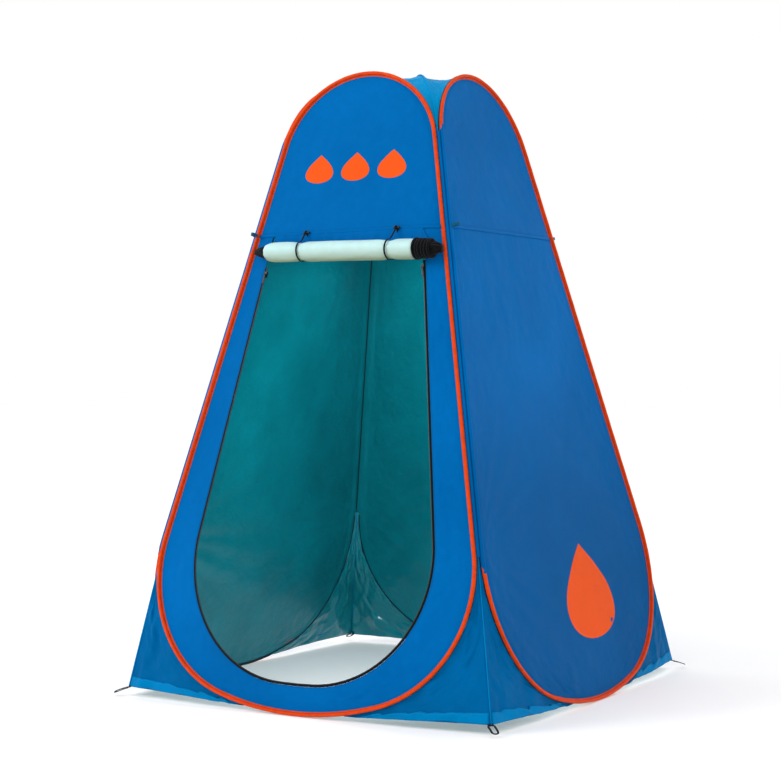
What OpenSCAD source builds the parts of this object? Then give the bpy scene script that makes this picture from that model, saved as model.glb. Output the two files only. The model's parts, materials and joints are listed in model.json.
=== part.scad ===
// Pop-up privacy shower tent: four flat walls, each held open by a spring-steel hoop,
// joined along four leaning corner seams. Millimetres, +Z up, ground at z = 0, front towards -Y.
// A wall's own frame is u across, v up its slope and w outwards, from the middle of its foot.

/* [Walls] */
// Half width of the walls where their planes meet the ground
base_half = 657; // [650:1:665]
// How far a wall leans in for each unit of height
wall_slope = 0.225; // [0.21:0.005:0.235]
// Height of the cross seam, along the slope
seam_v = 1440; // [1420:5:1460]

/* [Hoops] */
// Radius of the arch over the top
top_r = 275; // [260:1:290]
// Radius of the two lower corners
side_r = 384; // [360:1:400]
// Radius of the wide curve at the foot
foot_r = 965; // [900:5:1050]
// Thickness of the spring-steel strip
strip_t = 2.4; // [2:0.2:3]
// Depth of the strip, outwards from the wall
strip_d = 6.5; // [5:0.5:7]

/* [Sleeve and cloth] */
// Width of the sewn sleeve, in the wall's plane
sleeve_w = 9; // [8.5:0.1:9.5]
// Depth of the sleeve, outwards from the wall
sleeve_d = 11; // [10.5:0.5:13]
// Gap between the sleeve and the corner seam
seam_gap = 5; // [4:0.5:7]
// Thickness of the wall cloth as a solid
cloth_t = 2; // [1:0.5:2.5]

/* [Doorway] */
// Half width that the straight sides would have at the ground
door_half = 494; // [490:1:500]
// How far the sides close in for each unit of slope
door_slope = 0.156; // [0.15:0.002:0.16]
// Radius of the doorway's lower corners
door_side_r = 372; // [350:1:380]
// Radius of its bottom edge
door_foot_r = 1400; // [1200:50:1600]
// Height of its bottom edge
door_foot_v = 84; // [75:1:95]
// Radius of the rolled-up door
roll_r = 33; // [30:0.5:34]
// Height of the roll's axis, along the slope
roll_v = 1372; // [1368:1:1376]
// How far the middle of the roll's axis stands out from the front wall
roll_w = 33.5; // [33:0.1:35]

/* [Corners] */
// Half width of the ground plan at the peg corners
peg_half = 627; // [622:1:630]
// Height of the peg corners while they aren't pegged down
peg_z = 28; // [26:1:34]

/* [Hidden] */

FRONT = 0;
RIGHT = 1;
BACK = 2;
LEFT = 3;

ORANGE = [0.80, 0.27, 0.09];
WALL_BLUE = [0.0, 0.42, 0.72];
SIDE_BLUE = [0.0, 0.37, 0.65];
CORNER_BLUE = [0.0, 0.47, 0.69];
ROOF_BLUE = [0.0, 0.60, 0.83];
STEEL = [0.62, 0.64, 0.66];
BLACK = [0.04, 0.04, 0.05];
DOOR_CLOTH = [0.80, 0.88, 0.86];

// Clearance between neighbouring cloth solids
fit = 0.3;
// The wall's lean from upright
lean = atan(wall_slope);
// The corner seam's closing in, for each unit along the slope, and its angle
corner_m = sin(lean);
corner_a = atan(corner_m);

// The hoop's centre line: where its straight sides would meet the ground, then its arc centres
hoop_half = base_half - (seam_gap + sleeve_w / 2) / cos(corner_a);
hoop_foot_v = sleeve_w / 2;
foot_c = [0, hoop_foot_v + foot_r];
side_c = corner_centre(hoop_half, corner_m, side_r, foot_r, hoop_foot_v);
top_c = [0, (hoop_half - top_r / cos(corner_a)) / corner_m];
foot_a = atan2(side_c[0], foot_c[1] - side_c[1]);

// The doorway's arc centres in the same way
door_a = atan(door_slope);
door_foot_c = [0, door_foot_v + door_foot_r];
door_side_c = corner_centre(door_half, door_slope, door_side_r, door_foot_r, door_foot_v);
door_foot_a = atan2(door_side_c[0], door_foot_c[1] - door_side_c[1]);
door_top_v = seam_v - 14;

// Depths above the wall's inner plane
cloth_w = 7;
strip_w = 1.5;
pocket_top = 9.5;
pocket_half = 3;

// Zip: tape width, the sliders' resting height, and where the pull's pin is
tape_w = 8;
tape_t = 2.6;
slider_v = 1316;
pin_w = 14.2;
pin_x = -12;
pin_r = 0.9;

// The door's ties
tie_u = [-142, 178];
tie_t = 1.8;

// The roll's lean, where its cloth ends on the right, and the zip tape's top end below it
roll_lean = 1.35;
roll_right = 268;
zip_top_v = roll_v - roll_r - 1;

// Thickness of the loose cloth at the corners and over the roof
loose_t = 1.2;
// The hems end on the foot curve, this far round from its middle
hem_a = 8;
// Share of the way from the roof's middle to its corners at which its flat middle ends
roof_flat = 0.35;
roof_sag = 12;

// Centre of a corner arc that touches a straight side (half width at v = 0, slope) and the foot arc
function corner_centre(half, slope, r, fr, fv) =
    let (
        a = half - r / cos(atan(slope)),
        c = fv + fr,
        qa = 1 + slope * slope,
        qb = -2 * (a * slope + c),
        qc = a * a + c * c - (fr - r) * (fr - r),
        v = (-qb - sqrt(qb * qb - 4 * qa * qc)) / (2 * qa)
    )
    [a - slope * v, v];

// Points along an arc
function arc(c, r, from, to, n) =
    [for (i = [0:n]) c + r * [cos(from + (to - from) * i / n), sin(from + (to - from) * i / n)]];

function mirrored(p) = [-p[0], p[1]];

// The hoop's outline, grown or shrunk from its centre line
function hoop_outline(grow) =
    concat(
        arc(foot_c, foot_r + grow, -90 - foot_a, -90 + foot_a, 12),
        arc(side_c, side_r + grow, -90 + foot_a, corner_a, 22),
        arc(top_c, top_r + grow, corner_a, 180 - corner_a, 36),
        arc(mirrored(side_c), side_r + grow, 180 - corner_a, 270 - foot_a, 22)
    );

// The doorway's outline, open-topped up to a level line
function door_outline(grow, top_v) =
    let (
        top_u = door_half + grow / cos(door_a) - door_slope * top_v
    )
    concat(
        arc(door_foot_c, door_foot_r + grow, -90 - door_foot_a, -90 + door_foot_a, 10),
        arc(door_side_c, door_side_r + grow, -90 + door_foot_a, door_a, 18),
        [[top_u, top_v], [-top_u, top_v]],
        arc(mirrored(door_side_c), door_side_r + grow, 180 - door_a, 270 - door_foot_a, 18)
    );

// A point given in the front wall's frame, in the tent's frame
function on_wall(p, w) =
    [
        p[0],
        -base_half + p[1] * sin(lean) - w * cos(lean),
        p[1] * cos(lean) + w * sin(lean)
    ];

// The hoop's centre line below the corner, by the direction it faces
function low_rim(a) =
    a > -90 + foot_a
        ? side_c + side_r * [cos(a), sin(a)]
        : foot_c + foot_r * [cos(a), sin(a)];

function flip_x(p) = [-p[0], p[1], p[2]];

module wall(k) {
    rotate([0, 0, 90 * k])
        translate([0, -base_half, 0])
            rotate([90 - lean, 0, 0])
                children();
}

// A ring that follows the hoop, between two outlines and two depths
module hoop_ring(outer, inner, low, high) {
    translate([0, 0, low])
        linear_extrude(high - low)
            difference() {
                polygon(hoop_outline(outer));
                polygon(hoop_outline(inner));
            }
}

// The part of a wall's cloth between two heights
module cloth(low_v, high_v) {
    translate([0, 0, cloth_w])
        linear_extrude(cloth_t)
            intersection() {
                polygon(hoop_outline(-sleeve_w / 2 - fit));
                translate([-base_half, low_v]) square([2 * base_half, high_v - low_v]);
            }
}

// A closed sheet through a grid of points, thickened by one offset
module sheet(grid, offset) {
    rows = len(grid);
    cols = len(grid[0]);
    half = rows * cols;
    front = [for (row = grid) for (p = row) p];
    back = [for (p = front) p + offset];
    cells = [for (i = [0:rows - 2]) for (j = [0:cols - 2]) [i * cols + j, i * cols + j + 1,
        (i + 1) * cols + j + 1, (i + 1) * cols + j]];
    face = [for (c = cells) for (t = [[c[0], c[1], c[2]], [c[0], c[2], c[3]]]) t];
    rear = [for (t = face) [t[0] + half, t[2] + half, t[1] + half]];
    rim = concat(
        [for (j = [0:cols - 2]) [j + 1, j]],
        [for (i = [0:rows - 2]) [i * cols, (i + 1) * cols]],
        [for (j = [0:cols - 2]) [(rows - 1) * cols + j, (rows - 1) * cols + j + 1]],
        [for (i = [0:rows - 2]) [(i + 2) * cols - 1, (i + 1) * cols - 1]]
    );
    edge = [for (e = rim) for (t = [[e[0], e[1], e[1] + half], [e[0], e[1] + half, e[0] + half]]) t];
    polyhedron(concat(front, back), concat(face, rear, edge));
}

// ---- Frame ----

module hoop(k) {
    color(STEEL)
        wall(k) hoop_ring(strip_t / 2, -strip_t / 2, strip_w, strip_w + strip_d);
}

// Crimped tube over the joint of the strip, at the middle of the foot
module ferrule(k) {
    length = 44;
    skin = 0.9;
    color(STEEL)
        wall(k)
            intersection() {
                difference() {
                    hoop_ring(strip_t / 2 + skin, -strip_t / 2 - skin, strip_w - skin,
                        strip_w + strip_d + skin);
                    hoop_ring(strip_t / 2, -strip_t / 2, strip_w, strip_w + strip_d);
                }
                translate([-length / 2, -20, 0]) cube([length, 50, 20]);
            }
}

// Folded tape round the strip, open along its inner edge where it is sewn
module sleeve(k) {
    color(ORANGE)
        wall(k)
            difference() {
                hoop_ring(sleeve_w / 2, -sleeve_w / 2, 0, sleeve_d);
                hoop_ring(pocket_half, -pocket_half, -1, pocket_top);
            }
}

// Short wrap that covers the overlap of the sleeve's ends
module sleeve_join() {
    length = 36;
    skin = 1;
    half = sleeve_w / 2 + 0.1;
    centre_v = 1374;
    centre_u = hoop_half - corner_m * centre_v;
    color(ORANGE)
        wall(FRONT)
            mirror([1, 0, 0])
                translate([centre_u, centre_v, 0])
                    rotate([0, 0, corner_a]) {
                        translate([-half - skin, -length / 2, sleeve_d + 0.1])
                            cube([2 * (half + skin), length, skin]);
                        translate([half, -length / 2, 0])
                            cube([skin, length, sleeve_d + 0.5]);
                        translate([-half - skin, -length / 2, sleeve_d - 1.5])
                            cube([skin, length, 2]);
                    }
}

// ---- Wall cloth ----

module upper_panel(k, tint) {
    color(tint)
        wall(k) cloth(seam_v + fit, top_c[1] + top_r);
}

module lower_panel(k, tint) {
    color(tint)
        wall(k) cloth(0, seam_v - fit);
}

// The front's lower cloth, with the doorway cut out
module door_surround() {
    color(WALL_BLUE)
        wall(FRONT)
            difference() {
                cloth(0, seam_v - fit);
                translate([0, 0, cloth_w - 1])
                    linear_extrude(cloth_t + 2) polygon(door_outline(0, door_top_v));
            }
}

// Half of a bottom corner's gusset: from the hoop back to the seam over the peg corner
function gusset_point(t, s) =
    let (
        split_z = (side_c[1] + side_r * sin(corner_a)) * cos(lean),
        split = base_half - wall_slope * split_z - 4,
        seam = [split, -split, split_z] + t * ([peg_half, -peg_half, peg_z] - [split, -split, split_z]),
        rim = on_wall(low_rim(corner_a - t * (90 + corner_a - hem_a)), -2)
    )
    rim + s * (seam - [1.6, 0, 0] - rim);

module gusset(k, left) {
    rows = 14;
    cols = 6;
    grid = [for (i = [0:rows]) [for (j = [0:cols]) gusset_point(0.05 + 0.95 * i / rows, j / cols)]];
    color(CORNER_BLUE)
        rotate([0, 0, 90 * k])
            mirror([left ? 1 : 0, 0, 0])
                sheet(grid, [0, loose_t, 0]);
}

// The folded hem bands of a wall's two gussets, on their outer faces
module hems(k) {
    rows = 2;
    cols = 10;
    grid = [for (i = [0:rows]) [for (j = [0:cols])
        gusset_point(0.93 + 0.07 * i / rows, 0.16 + 0.83 * j / cols) - [0, loose_t + fit, 0]]];
    color(CORNER_BLUE)
        rotate([0, 0, 90 * k])
            for (side = [0, 1])
                mirror([side, 0, 0])
                    sheet(grid, [0, loose_t, 0]);
}

// ---- Roof ----

// A point of the arch, by its angle, and the point halfway to the next wall's arch
function arch_point(a) = on_wall(top_c + top_r * [cos(a), sin(a)], -2);
function ridge_point(a) =
    let (
        p = arch_point(a),
        half = (p[0] - p[1]) / 2
    )
    [half, -half, p[2]];

// The petal's inner edge, from the roof's middle (0) to the corner (1)
function petal_edge(q) =
    let (
        crown = ridge_point(90),
        middle = [0, 0, crown[2] - roof_sag],
        away = [0, -1.5, 0]
    )
    away + (q < roof_flat
        ? middle + q / roof_flat * (crown - middle)
        : ridge_point(90 - (90 - corner_a) * (q - roof_flat) / (1 - roof_flat)));

function petal_point(q, s) =
    let (
        rim = arch_point(90 - (90 - corner_a) * abs(q)),
        p = rim + s * (petal_edge(abs(q)) - rim)
    )
    q < 0 ? flip_x(p) : p;

module roof_petal(k) {
    rows = 28;
    cols = 6;
    grid = [for (i = [0:rows]) [for (j = [0:cols]) petal_point(1 - 2 * i / rows, j / cols)]];
    color(ROOF_BLUE)
        rotate([0, 0, 90 * k])
            sheet(grid, [0, loose_t * 0.6, -loose_t]);
}

// ---- Corner webbing ----

// Flat webbing loop, with its root at the origin, that runs out along +X
module webbing_loop(length, width, thick, band) {
    linear_extrude(thick)
        difference() {
            strap_outline(length, width);
            translate([band, 0]) strap_outline(length - 2 * band, width - 2 * band);
        }
}

// Outline with a square root and a round end
module strap_outline(length, width) {
    translate([0, -width / 2]) square([length - width / 2, width]);
    translate([length - width / 2, 0]) circle(d = width, $fn = 48);
}

// Loop for a ground peg, sewn under the corner of the hems, which droops to the ground
module peg_loop(k) {
    droop = 16;
    reach = 46;
    loop_w = 22;
    tape = 2.4;
    band = 4;
    root = peg_half + 1.5;
    color(BLACK)
        rotate([0, 0, 90 * k])
            translate([-root, -root, peg_z - band])
                rotate([0, droop, 225])
                    webbing_loop(reach, loop_w, tape, band);
}

// Small loop for a guy line, that stands out from the sleeve at the cross seam's height
module guy_tab(k) {
    reach = 26;
    loop_w = 12;
    tape = 9;
    skin = 1.8;
    color(SIDE_BLUE)
        wall(k)
            translate([-hoop_half + corner_m * seam_v, seam_v + tape / 2, sleeve_d + fit])
                rotate([90, -90, 0])
                    webbing_loop(reach, loop_w, tape, skin);
}

// ---- Doorway ----

// Zip tape along the doorway's sides and bottom
module zip_tape() {
    color(BLACK)
        wall(FRONT)
            translate([0, 0, cloth_w - fit])
                linear_extrude(tape_t)
                    intersection() {
                        difference() {
                            polygon(door_outline(-fit, door_top_v - 30));
                            polygon(door_outline(-fit - tape_w, door_top_v));
                        }
                        translate([-base_half, 0]) square([2 * base_half, zip_top_v]);
                    }
}

// Places its children along the roll's axis, starting at u. Its right end hangs further out
module along_roll(u) {
    wall(FRONT)
        translate([0, roll_v, roll_w])
            rotate([0, -roll_lean, 0])
                translate([u, 0, 0])
                    rotate([0, 90, 0])
                        children();
}

// The rolled-up door, tapered at its left end
module door_roll() {
    left = -274;
    right = roll_right;
    taper = 34;
    end_r = 17;
    shoulder = 5;
    color(DOOR_CLOTH)
        along_roll(left)
            rotate_extrude($fn = 72)
                polygon([
                    [0, 0], [end_r, 0], [roll_r - shoulder, taper * 0.4], [roll_r, taper],
                    [roll_r, right - left], [0, right - left]
                ]);
}

// The door's own zip tape, rolled into ridges at the right end, and the bunch beyond it
module roll_zip_turns() {
    turns = 5;
    pitch = 10.5;
    start = roll_right + fit;
    ridge_r = roll_r - 3;
    valley_r = roll_r - 8;
    bunch_r = 19;
    bunch = 36;
    color(BLACK)
        along_roll(start)
            rotate_extrude($fn = 72)
                polygon(concat(
                    [[0, 0]],
                    [for (i = [0:turns - 1]) for (p = [[valley_r, i * pitch], [ridge_r, i * pitch + 2],
                        [ridge_r, (i + 1) * pitch - 2]]) p],
                    [[valley_r, turns * pitch], [bunch_r, turns * pitch + bunch * 0.6],
                        [bunch_r - 6, turns * pitch + bunch], [0, turns * pitch + bunch]]
                ));
}

// Cord round the roll, with a tail up to the cross seam
module door_tie(u) {
    width = 6;
    inner = roll_r + fit;
    tail_low = roll_v + 2;
    color(BLACK) {
        along_roll(u - width / 2)
            difference() {
                cylinder(r = inner + tie_t, h = width, $fn = 96);
                translate([0, 0, -1]) cylinder(r = inner, h = width + 2, $fn = 96);
            }
        difference() {
            wall(FRONT)
                translate([u - width / 2, tail_low, cloth_w + cloth_t + fit])
                    cube([width, seam_v + 8 - tail_low, tie_t]);
            along_roll(u - width) cylinder(r = inner + tie_t / 2, h = 2 * width, $fn = 96);
        }
    }
}

// Barrel toggle that the tie's loop hooks over
module toggle(u) {
    length = 22;
    end_r = 3.6;
    waist_r = 2.8;
    chamfer = 0.8;
    cap = 6;
    neck = 9;
    color(BLACK)
        wall(FRONT)
            translate([u - length / 2, seam_v, cloth_w + cloth_t + 2 * fit + tie_t + end_r])
                rotate([0, 90, 0])
                    rotate_extrude($fn = 32)
                        polygon([
                            [0, 0], [end_r - chamfer, 0], [end_r, chamfer], [end_r, cap],
                            [waist_r, neck], [waist_r, length - neck], [end_r, length - cap],
                            [end_r, length - chamfer], [end_r - chamfer, length], [0, length]
                        ]);
}

// Places its children on the zip at the slider's height, with y up the straight side
module at_zip(left) {
    wall(FRONT)
        mirror([left ? 1 : 0, 0, 0])
            translate([door_half - door_slope * slider_v, slider_v, 0])
                rotate([0, 0, door_a])
                    children();
}

// Zip slider: a body that straddles the tape's free edge, with two lugs and a pin
module slider(left) {
    body = [9, 18, 7.8];
    body_x = -13;
    body_low = 4.2;
    slot_x = -8.8;
    slot_low = cloth_w - fit - 0.5;
    lug = [1, 4, 4.4];
    lug_low = 11.5;
    pin_len = 7;
    color(BLACK)
        at_zip(left) {
            difference() {
                translate([body_x, -body[1] / 2, body_low]) cube(body);
                translate([slot_x, -body[1] / 2 - 1, slot_low]) cube([6, body[1] + 2, tape_t + 1]);
            }
            for (x = [pin_x, pin_x + pin_len - lug[0]])
                translate([x, -lug[1] / 2, lug_low]) cube(lug);
            translate([pin_x, 0, pin_w]) rotate([0, 90, 0]) cylinder(r = pin_r, h = pin_len, $fn = 32);
        }
}

// The slider's pull: an eye on the pin and a flat tab
module pull(left) {
    eye_r = 2;
    bore_r = pin_r + 0.05;
    width = 4.2;
    thick = 1.4;
    reach = 28;
    eye_x = pin_x + 1.4;
    color(BLACK)
        at_zip(left)
            difference() {
                union() {
                    translate([eye_x, 0, pin_w])
                        rotate([0, 90, 0]) cylinder(r = eye_r, h = width, $fn = 32);
                    translate([eye_x, -reach, pin_w - thick / 2])
                        cube([width, reach - bore_r + 0.15, thick]);
                }
                translate([eye_x - 1, 0, pin_w])
                    rotate([0, 90, 0]) cylinder(r = bore_r, h = width + 2, $fn = 32);
            }
}

hoop(FRONT);  // front_hoop
ferrule(FRONT);  // front_ferrule
sleeve(FRONT);  // front_sleeve
upper_panel(FRONT, WALL_BLUE);  // front_header
door_surround();
gusset(FRONT, true);  // front_gusset_left
gusset(FRONT, false);  // front_gusset_right
hems(FRONT);  // front_hems
roof_petal(FRONT);  // front_roof_petal
peg_loop(FRONT);  // front_peg_loop
guy_tab(FRONT);  // front_guy_tab
hoop(RIGHT);  // right_hoop
ferrule(RIGHT);  // right_ferrule
sleeve(RIGHT);  // right_sleeve
upper_panel(RIGHT, SIDE_BLUE);  // right_upper_panel
lower_panel(RIGHT, SIDE_BLUE);  // right_lower_panel
gusset(RIGHT, true);  // right_gusset_left
gusset(RIGHT, false);  // right_gusset_right
hems(RIGHT);  // right_hems
roof_petal(RIGHT);  // right_roof_petal
peg_loop(RIGHT);  // right_peg_loop
guy_tab(RIGHT);  // right_guy_tab
hoop(BACK);  // back_hoop
ferrule(BACK);  // back_ferrule
sleeve(BACK);  // back_sleeve
upper_panel(BACK, SIDE_BLUE);  // back_upper_panel
lower_panel(BACK, SIDE_BLUE);  // back_lower_panel
gusset(BACK, true);  // back_gusset_left
gusset(BACK, false);  // back_gusset_right
hems(BACK);  // back_hems
roof_petal(BACK);  // back_roof_petal
peg_loop(BACK);  // back_peg_loop
guy_tab(BACK);  // back_guy_tab
hoop(LEFT);  // left_hoop
ferrule(LEFT);  // left_ferrule
sleeve(LEFT);  // left_sleeve
upper_panel(LEFT, SIDE_BLUE);  // left_upper_panel
lower_panel(LEFT, SIDE_BLUE);  // left_lower_panel
gusset(LEFT, true);  // left_gusset_left
gusset(LEFT, false);  // left_gusset_right
hems(LEFT);  // left_hems
roof_petal(LEFT);  // left_roof_petal
peg_loop(LEFT);  // left_peg_loop
guy_tab(LEFT);  // left_guy_tab
sleeve_join();
zip_tape();
door_roll();
roll_zip_turns();
door_tie(tie_u[0]);  // door_tie_left
door_tie(tie_u[1]);  // door_tie_right
toggle(tie_u[0]);  // toggle_left
toggle(tie_u[1]);  // toggle_right
slider(true);  // slider_left
slider(false);  // slider_right
pull(true);  // pull_left
pull(false);  // pull_right
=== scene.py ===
"""The privacy shower tent: cloth, piping, zips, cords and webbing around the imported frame."""
import json
import math

import bpy
import numpy as np
from mathutils import Matrix, Vector
from mathutils.bvhtree import BVHTree


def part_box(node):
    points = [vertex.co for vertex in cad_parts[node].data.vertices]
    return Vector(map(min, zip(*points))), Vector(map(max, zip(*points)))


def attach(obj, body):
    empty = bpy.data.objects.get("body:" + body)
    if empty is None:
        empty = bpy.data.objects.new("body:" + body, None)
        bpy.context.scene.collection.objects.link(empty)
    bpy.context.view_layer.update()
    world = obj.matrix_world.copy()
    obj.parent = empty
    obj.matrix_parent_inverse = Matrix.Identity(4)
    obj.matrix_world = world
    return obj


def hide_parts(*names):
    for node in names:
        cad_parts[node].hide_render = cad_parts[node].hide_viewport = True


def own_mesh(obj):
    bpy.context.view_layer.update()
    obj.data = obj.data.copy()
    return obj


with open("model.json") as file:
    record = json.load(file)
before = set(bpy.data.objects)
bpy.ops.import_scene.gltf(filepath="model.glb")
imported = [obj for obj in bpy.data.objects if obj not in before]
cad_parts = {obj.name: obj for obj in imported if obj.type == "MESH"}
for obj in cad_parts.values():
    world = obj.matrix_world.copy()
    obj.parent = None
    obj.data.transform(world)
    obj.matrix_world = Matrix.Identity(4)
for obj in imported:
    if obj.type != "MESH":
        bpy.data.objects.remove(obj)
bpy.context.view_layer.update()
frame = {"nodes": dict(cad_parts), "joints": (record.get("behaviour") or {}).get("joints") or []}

# ---------------------------------------------------------------- sizes, in metres

joints = {j["name"]: j for j in frame["joints"]}
WALLS = ["front", "right", "back", "left"]

# The walls' planes meet the ground at this half width, and lean in by this slope
hinge = joints["fold_right"]
BASE = hinge["pos_m"][0]
SLOPE = abs(hinge["axis"][0] / hinge["axis"][2])
LEAN = math.atan(SLOPE)
# The corner lines' closing in along the slope, and its angle
CORNER_M = math.sin(LEAN)
CORNER_A = math.atan(CORNER_M)

# The hoops' arcs, as in the part's source
TOP_R = 0.275
SIDE_R = 0.384
FOOT_R = 0.965
SLEEVE_W = 0.009
SLEEVE_D = 0.011
SEAM_GAP = 0.005
# The cross seam's height along the slope
SEAM_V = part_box("right_lower_panel")[1].z / math.cos(LEAN) - 0.0023

# The doorway's arcs
DOOR_HALF = 0.494
DOOR_SLOPE = 0.156
DOOR_SIDE_R = 0.372
DOOR_FOOT_R = 1.400
DOOR_FOOT_V = 0.084

# The rolled door's axis and radius, and its ties
ROLL_V = 1.372
ROLL_R = 0.033
ROLL_W = 0.0335
ROLL_LEAN = math.radians(1.35)
ROLL_LEFT = -0.274
ROLL_RIGHT = 0.268
TIE_U = [-0.142, 0.178]
# The zip ends here, below the roll
ZIP_TOP = ROLL_V - ROLL_R - 0.001

# The peg corners
PEG_HALF = 0.627
PEG_Z = 0.028

# How far the wall cloth stands off the wall's inner plane
CLOTH_W = 0.0075
# Thickness of every cloth, drawn as a closed sheet
CLOTH_T = 0.0008
# The cloth's rim stands this far out, so that its inner face stays on the wall's own side
RIM_LIFT = 0.0009
# The sleeves' undersides are drawn this far out, clear of the rim
SLEEVE_LIFT = 0.0015


def corner_centre(half, slope, r, foot_r, foot_v):
    """Centre of a corner arc that touches a straight side and the foot arc."""
    a = half - r * math.hypot(1, slope)
    c = foot_v + foot_r
    qa = 1 + slope * slope
    qb = -2 * (a * slope + c)
    qc = a * a + c * c - (foot_r - r) ** 2
    v = (-qb - math.sqrt(qb * qb - 4 * qa * qc)) / (2 * qa)
    return np.array([a - slope * v, v])


HOOP_HALF = BASE - (SEAM_GAP + SLEEVE_W / 2) / math.cos(CORNER_A)
FOOT_C = np.array([0, SLEEVE_W / 2 + FOOT_R])
SIDE_C = corner_centre(HOOP_HALF, CORNER_M, SIDE_R, FOOT_R, SLEEVE_W / 2)
TOP_C = np.array([0, (HOOP_HALF - TOP_R / math.cos(CORNER_A)) / CORNER_M])
FOOT_A = math.atan2(SIDE_C[0], FOOT_C[1] - SIDE_C[1])
# Neighbouring hoops run side by side between these two heights
CORNER_V = SIDE_C[1] + SIDE_R * math.sin(CORNER_A)
ARCH_V = TOP_C[1] + TOP_R * math.sin(CORNER_A)

DOOR_A = math.atan(DOOR_SLOPE)
DOOR_FOOT_C = np.array([0, DOOR_FOOT_V + DOOR_FOOT_R])
DOOR_SIDE_C = corner_centre(DOOR_HALF, DOOR_SLOPE, DOOR_SIDE_R, DOOR_FOOT_R, DOOR_FOOT_V)
DOOR_FOOT_A = math.atan2(DOOR_SIDE_C[0], DOOR_FOOT_C[1] - DOOR_SIDE_C[1])


def on_arc(centre, r, a):
    return centre + r * np.array([math.cos(a), math.sin(a)])


def wall_point(k, u, v, w):
    """A point of wall k's own frame, in the tent's frame. u, v and w may be arrays."""
    u, v, w = np.broadcast_arrays(np.asarray(u, float), v, w)
    y = -BASE + v * math.sin(LEAN) - w * math.cos(LEAN)
    z = v * math.cos(LEAN) + w * math.sin(LEAN)
    c, s = [(1, 0), (0, 1), (-1, 0), (0, -1)][k]
    return np.stack([u * c - y * s, u * s + y * c, z], -1)


def wall_way(k, u, v, w=0.0):
    """A direction of wall k's own frame, in the tent's frame."""
    return wall_point(k, u, v, w) - wall_point(k, 0, 0, 0)


def wall_normal(k):
    """Wall k's outward direction."""
    return wall_way(k, 0, 0, 1)


# The hoop's right half: the foot's middle, the corner arc, the straight side, the arch's top
def hoop_half_line(step=0.01):
    """Points and outward directions along the hoop's centre line, from its foot up to its top."""
    points = []
    outs = []

    def add_arc(centre, r, a0, a1):
        n = max(2, int(r * abs(a1 - a0) / step))
        for a in np.linspace(a0, a1, n, endpoint=False):
            points.append(on_arc(centre, r, a))
            outs.append([math.cos(a), math.sin(a)])

    add_arc(FOOT_C, FOOT_R, -math.pi / 2, -math.pi / 2 + FOOT_A)
    add_arc(SIDE_C, SIDE_R, -math.pi / 2 + FOOT_A, CORNER_A)
    low = on_arc(SIDE_C, SIDE_R, CORNER_A)
    high = on_arc(TOP_C, TOP_R, CORNER_A)
    n = int(np.linalg.norm(high - low) / step)
    for t in np.linspace(0, 1, n, endpoint=False):
        points.append(low + t * (high - low))
        outs.append([math.cos(CORNER_A), math.sin(CORNER_A)])
    add_arc(TOP_C, TOP_R, CORNER_A, math.pi / 2)
    points.append(on_arc(TOP_C, TOP_R, math.pi / 2))
    outs.append([0, 1])
    return np.array(points), np.array(outs)


def hoop_line(step=0.01):
    """The whole closed centre line, anticlockwise from the foot's middle, with its outward directions."""
    p, n = hoop_half_line(step)
    flip = np.array([-1, 1])
    return np.vstack([p, p[-2:0:-1] * flip]), np.vstack([n, n[-2:0:-1] * flip])


HALF_P, HALF_N = hoop_half_line(0.004)
FOOT_V = SLEEVE_W / 2
TOP_V = TOP_C[1] + TOP_R


def half_width(v):
    """Half the cloth's width at a height: out to the corner line beside the straight sides."""
    u = np.interp(v, HALF_P[:, 1], HALF_P[:, 0])
    spare = (SEAM_GAP + SLEEVE_W / 2) / math.cos(CORNER_A)
    ease = np.clip(np.minimum(v - CORNER_V, ARCH_V - v) / 0.03 + 1, 0, 1)
    return u + spare * ease


# ---------------------------------------------------------------- camera

AZIMUTH = math.radians(30.92)
ELEVATION = math.radians(0.52)
DISTANCE = 5.670
TARGET = Vector((0, 0, 0.921))
LENS = 82.2
# The target stands a little right of the picture's middle, and the picture is turned a little
YAW = math.radians(0.564)
ROLL = math.radians(-0.476)


def make_camera():
    data = bpy.data.cameras.new("camera")
    data.lens = LENS
    data.sensor_width = 36
    data.clip_end = 100
    camera = bpy.data.objects.new("camera", data)
    bpy.context.scene.collection.objects.link(camera)
    flat = math.cos(ELEVATION)
    away = Vector((math.sin(AZIMUTH) * flat, -math.cos(AZIMUTH) * flat, math.sin(ELEVATION)))
    look = (-away).to_track_quat("-Z", "Y").to_matrix()
    turn = Matrix.Rotation(YAW, 3, "Y") @ Matrix.Rotation(ROLL, 3, "Z")
    camera.matrix_world = Matrix.Translation(TARGET + away * DISTANCE) @ (look @ turn).to_4x4()
    bpy.context.scene.camera = camera


make_camera()

# ---------------------------------------------------------------- materials


# The cloth's threads, in metres apart
WEAVE = 0.0012


def srgb(code):
    """A linear colour from a hex code."""
    out = []
    for i in (0, 2, 4):
        c = int(code[i:i + 2], 16) / 255
        out.append(c / 12.92 if c <= 0.04045 else ((c + 0.055) / 1.055) ** 2.4)
    return (*out, 1)


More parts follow.
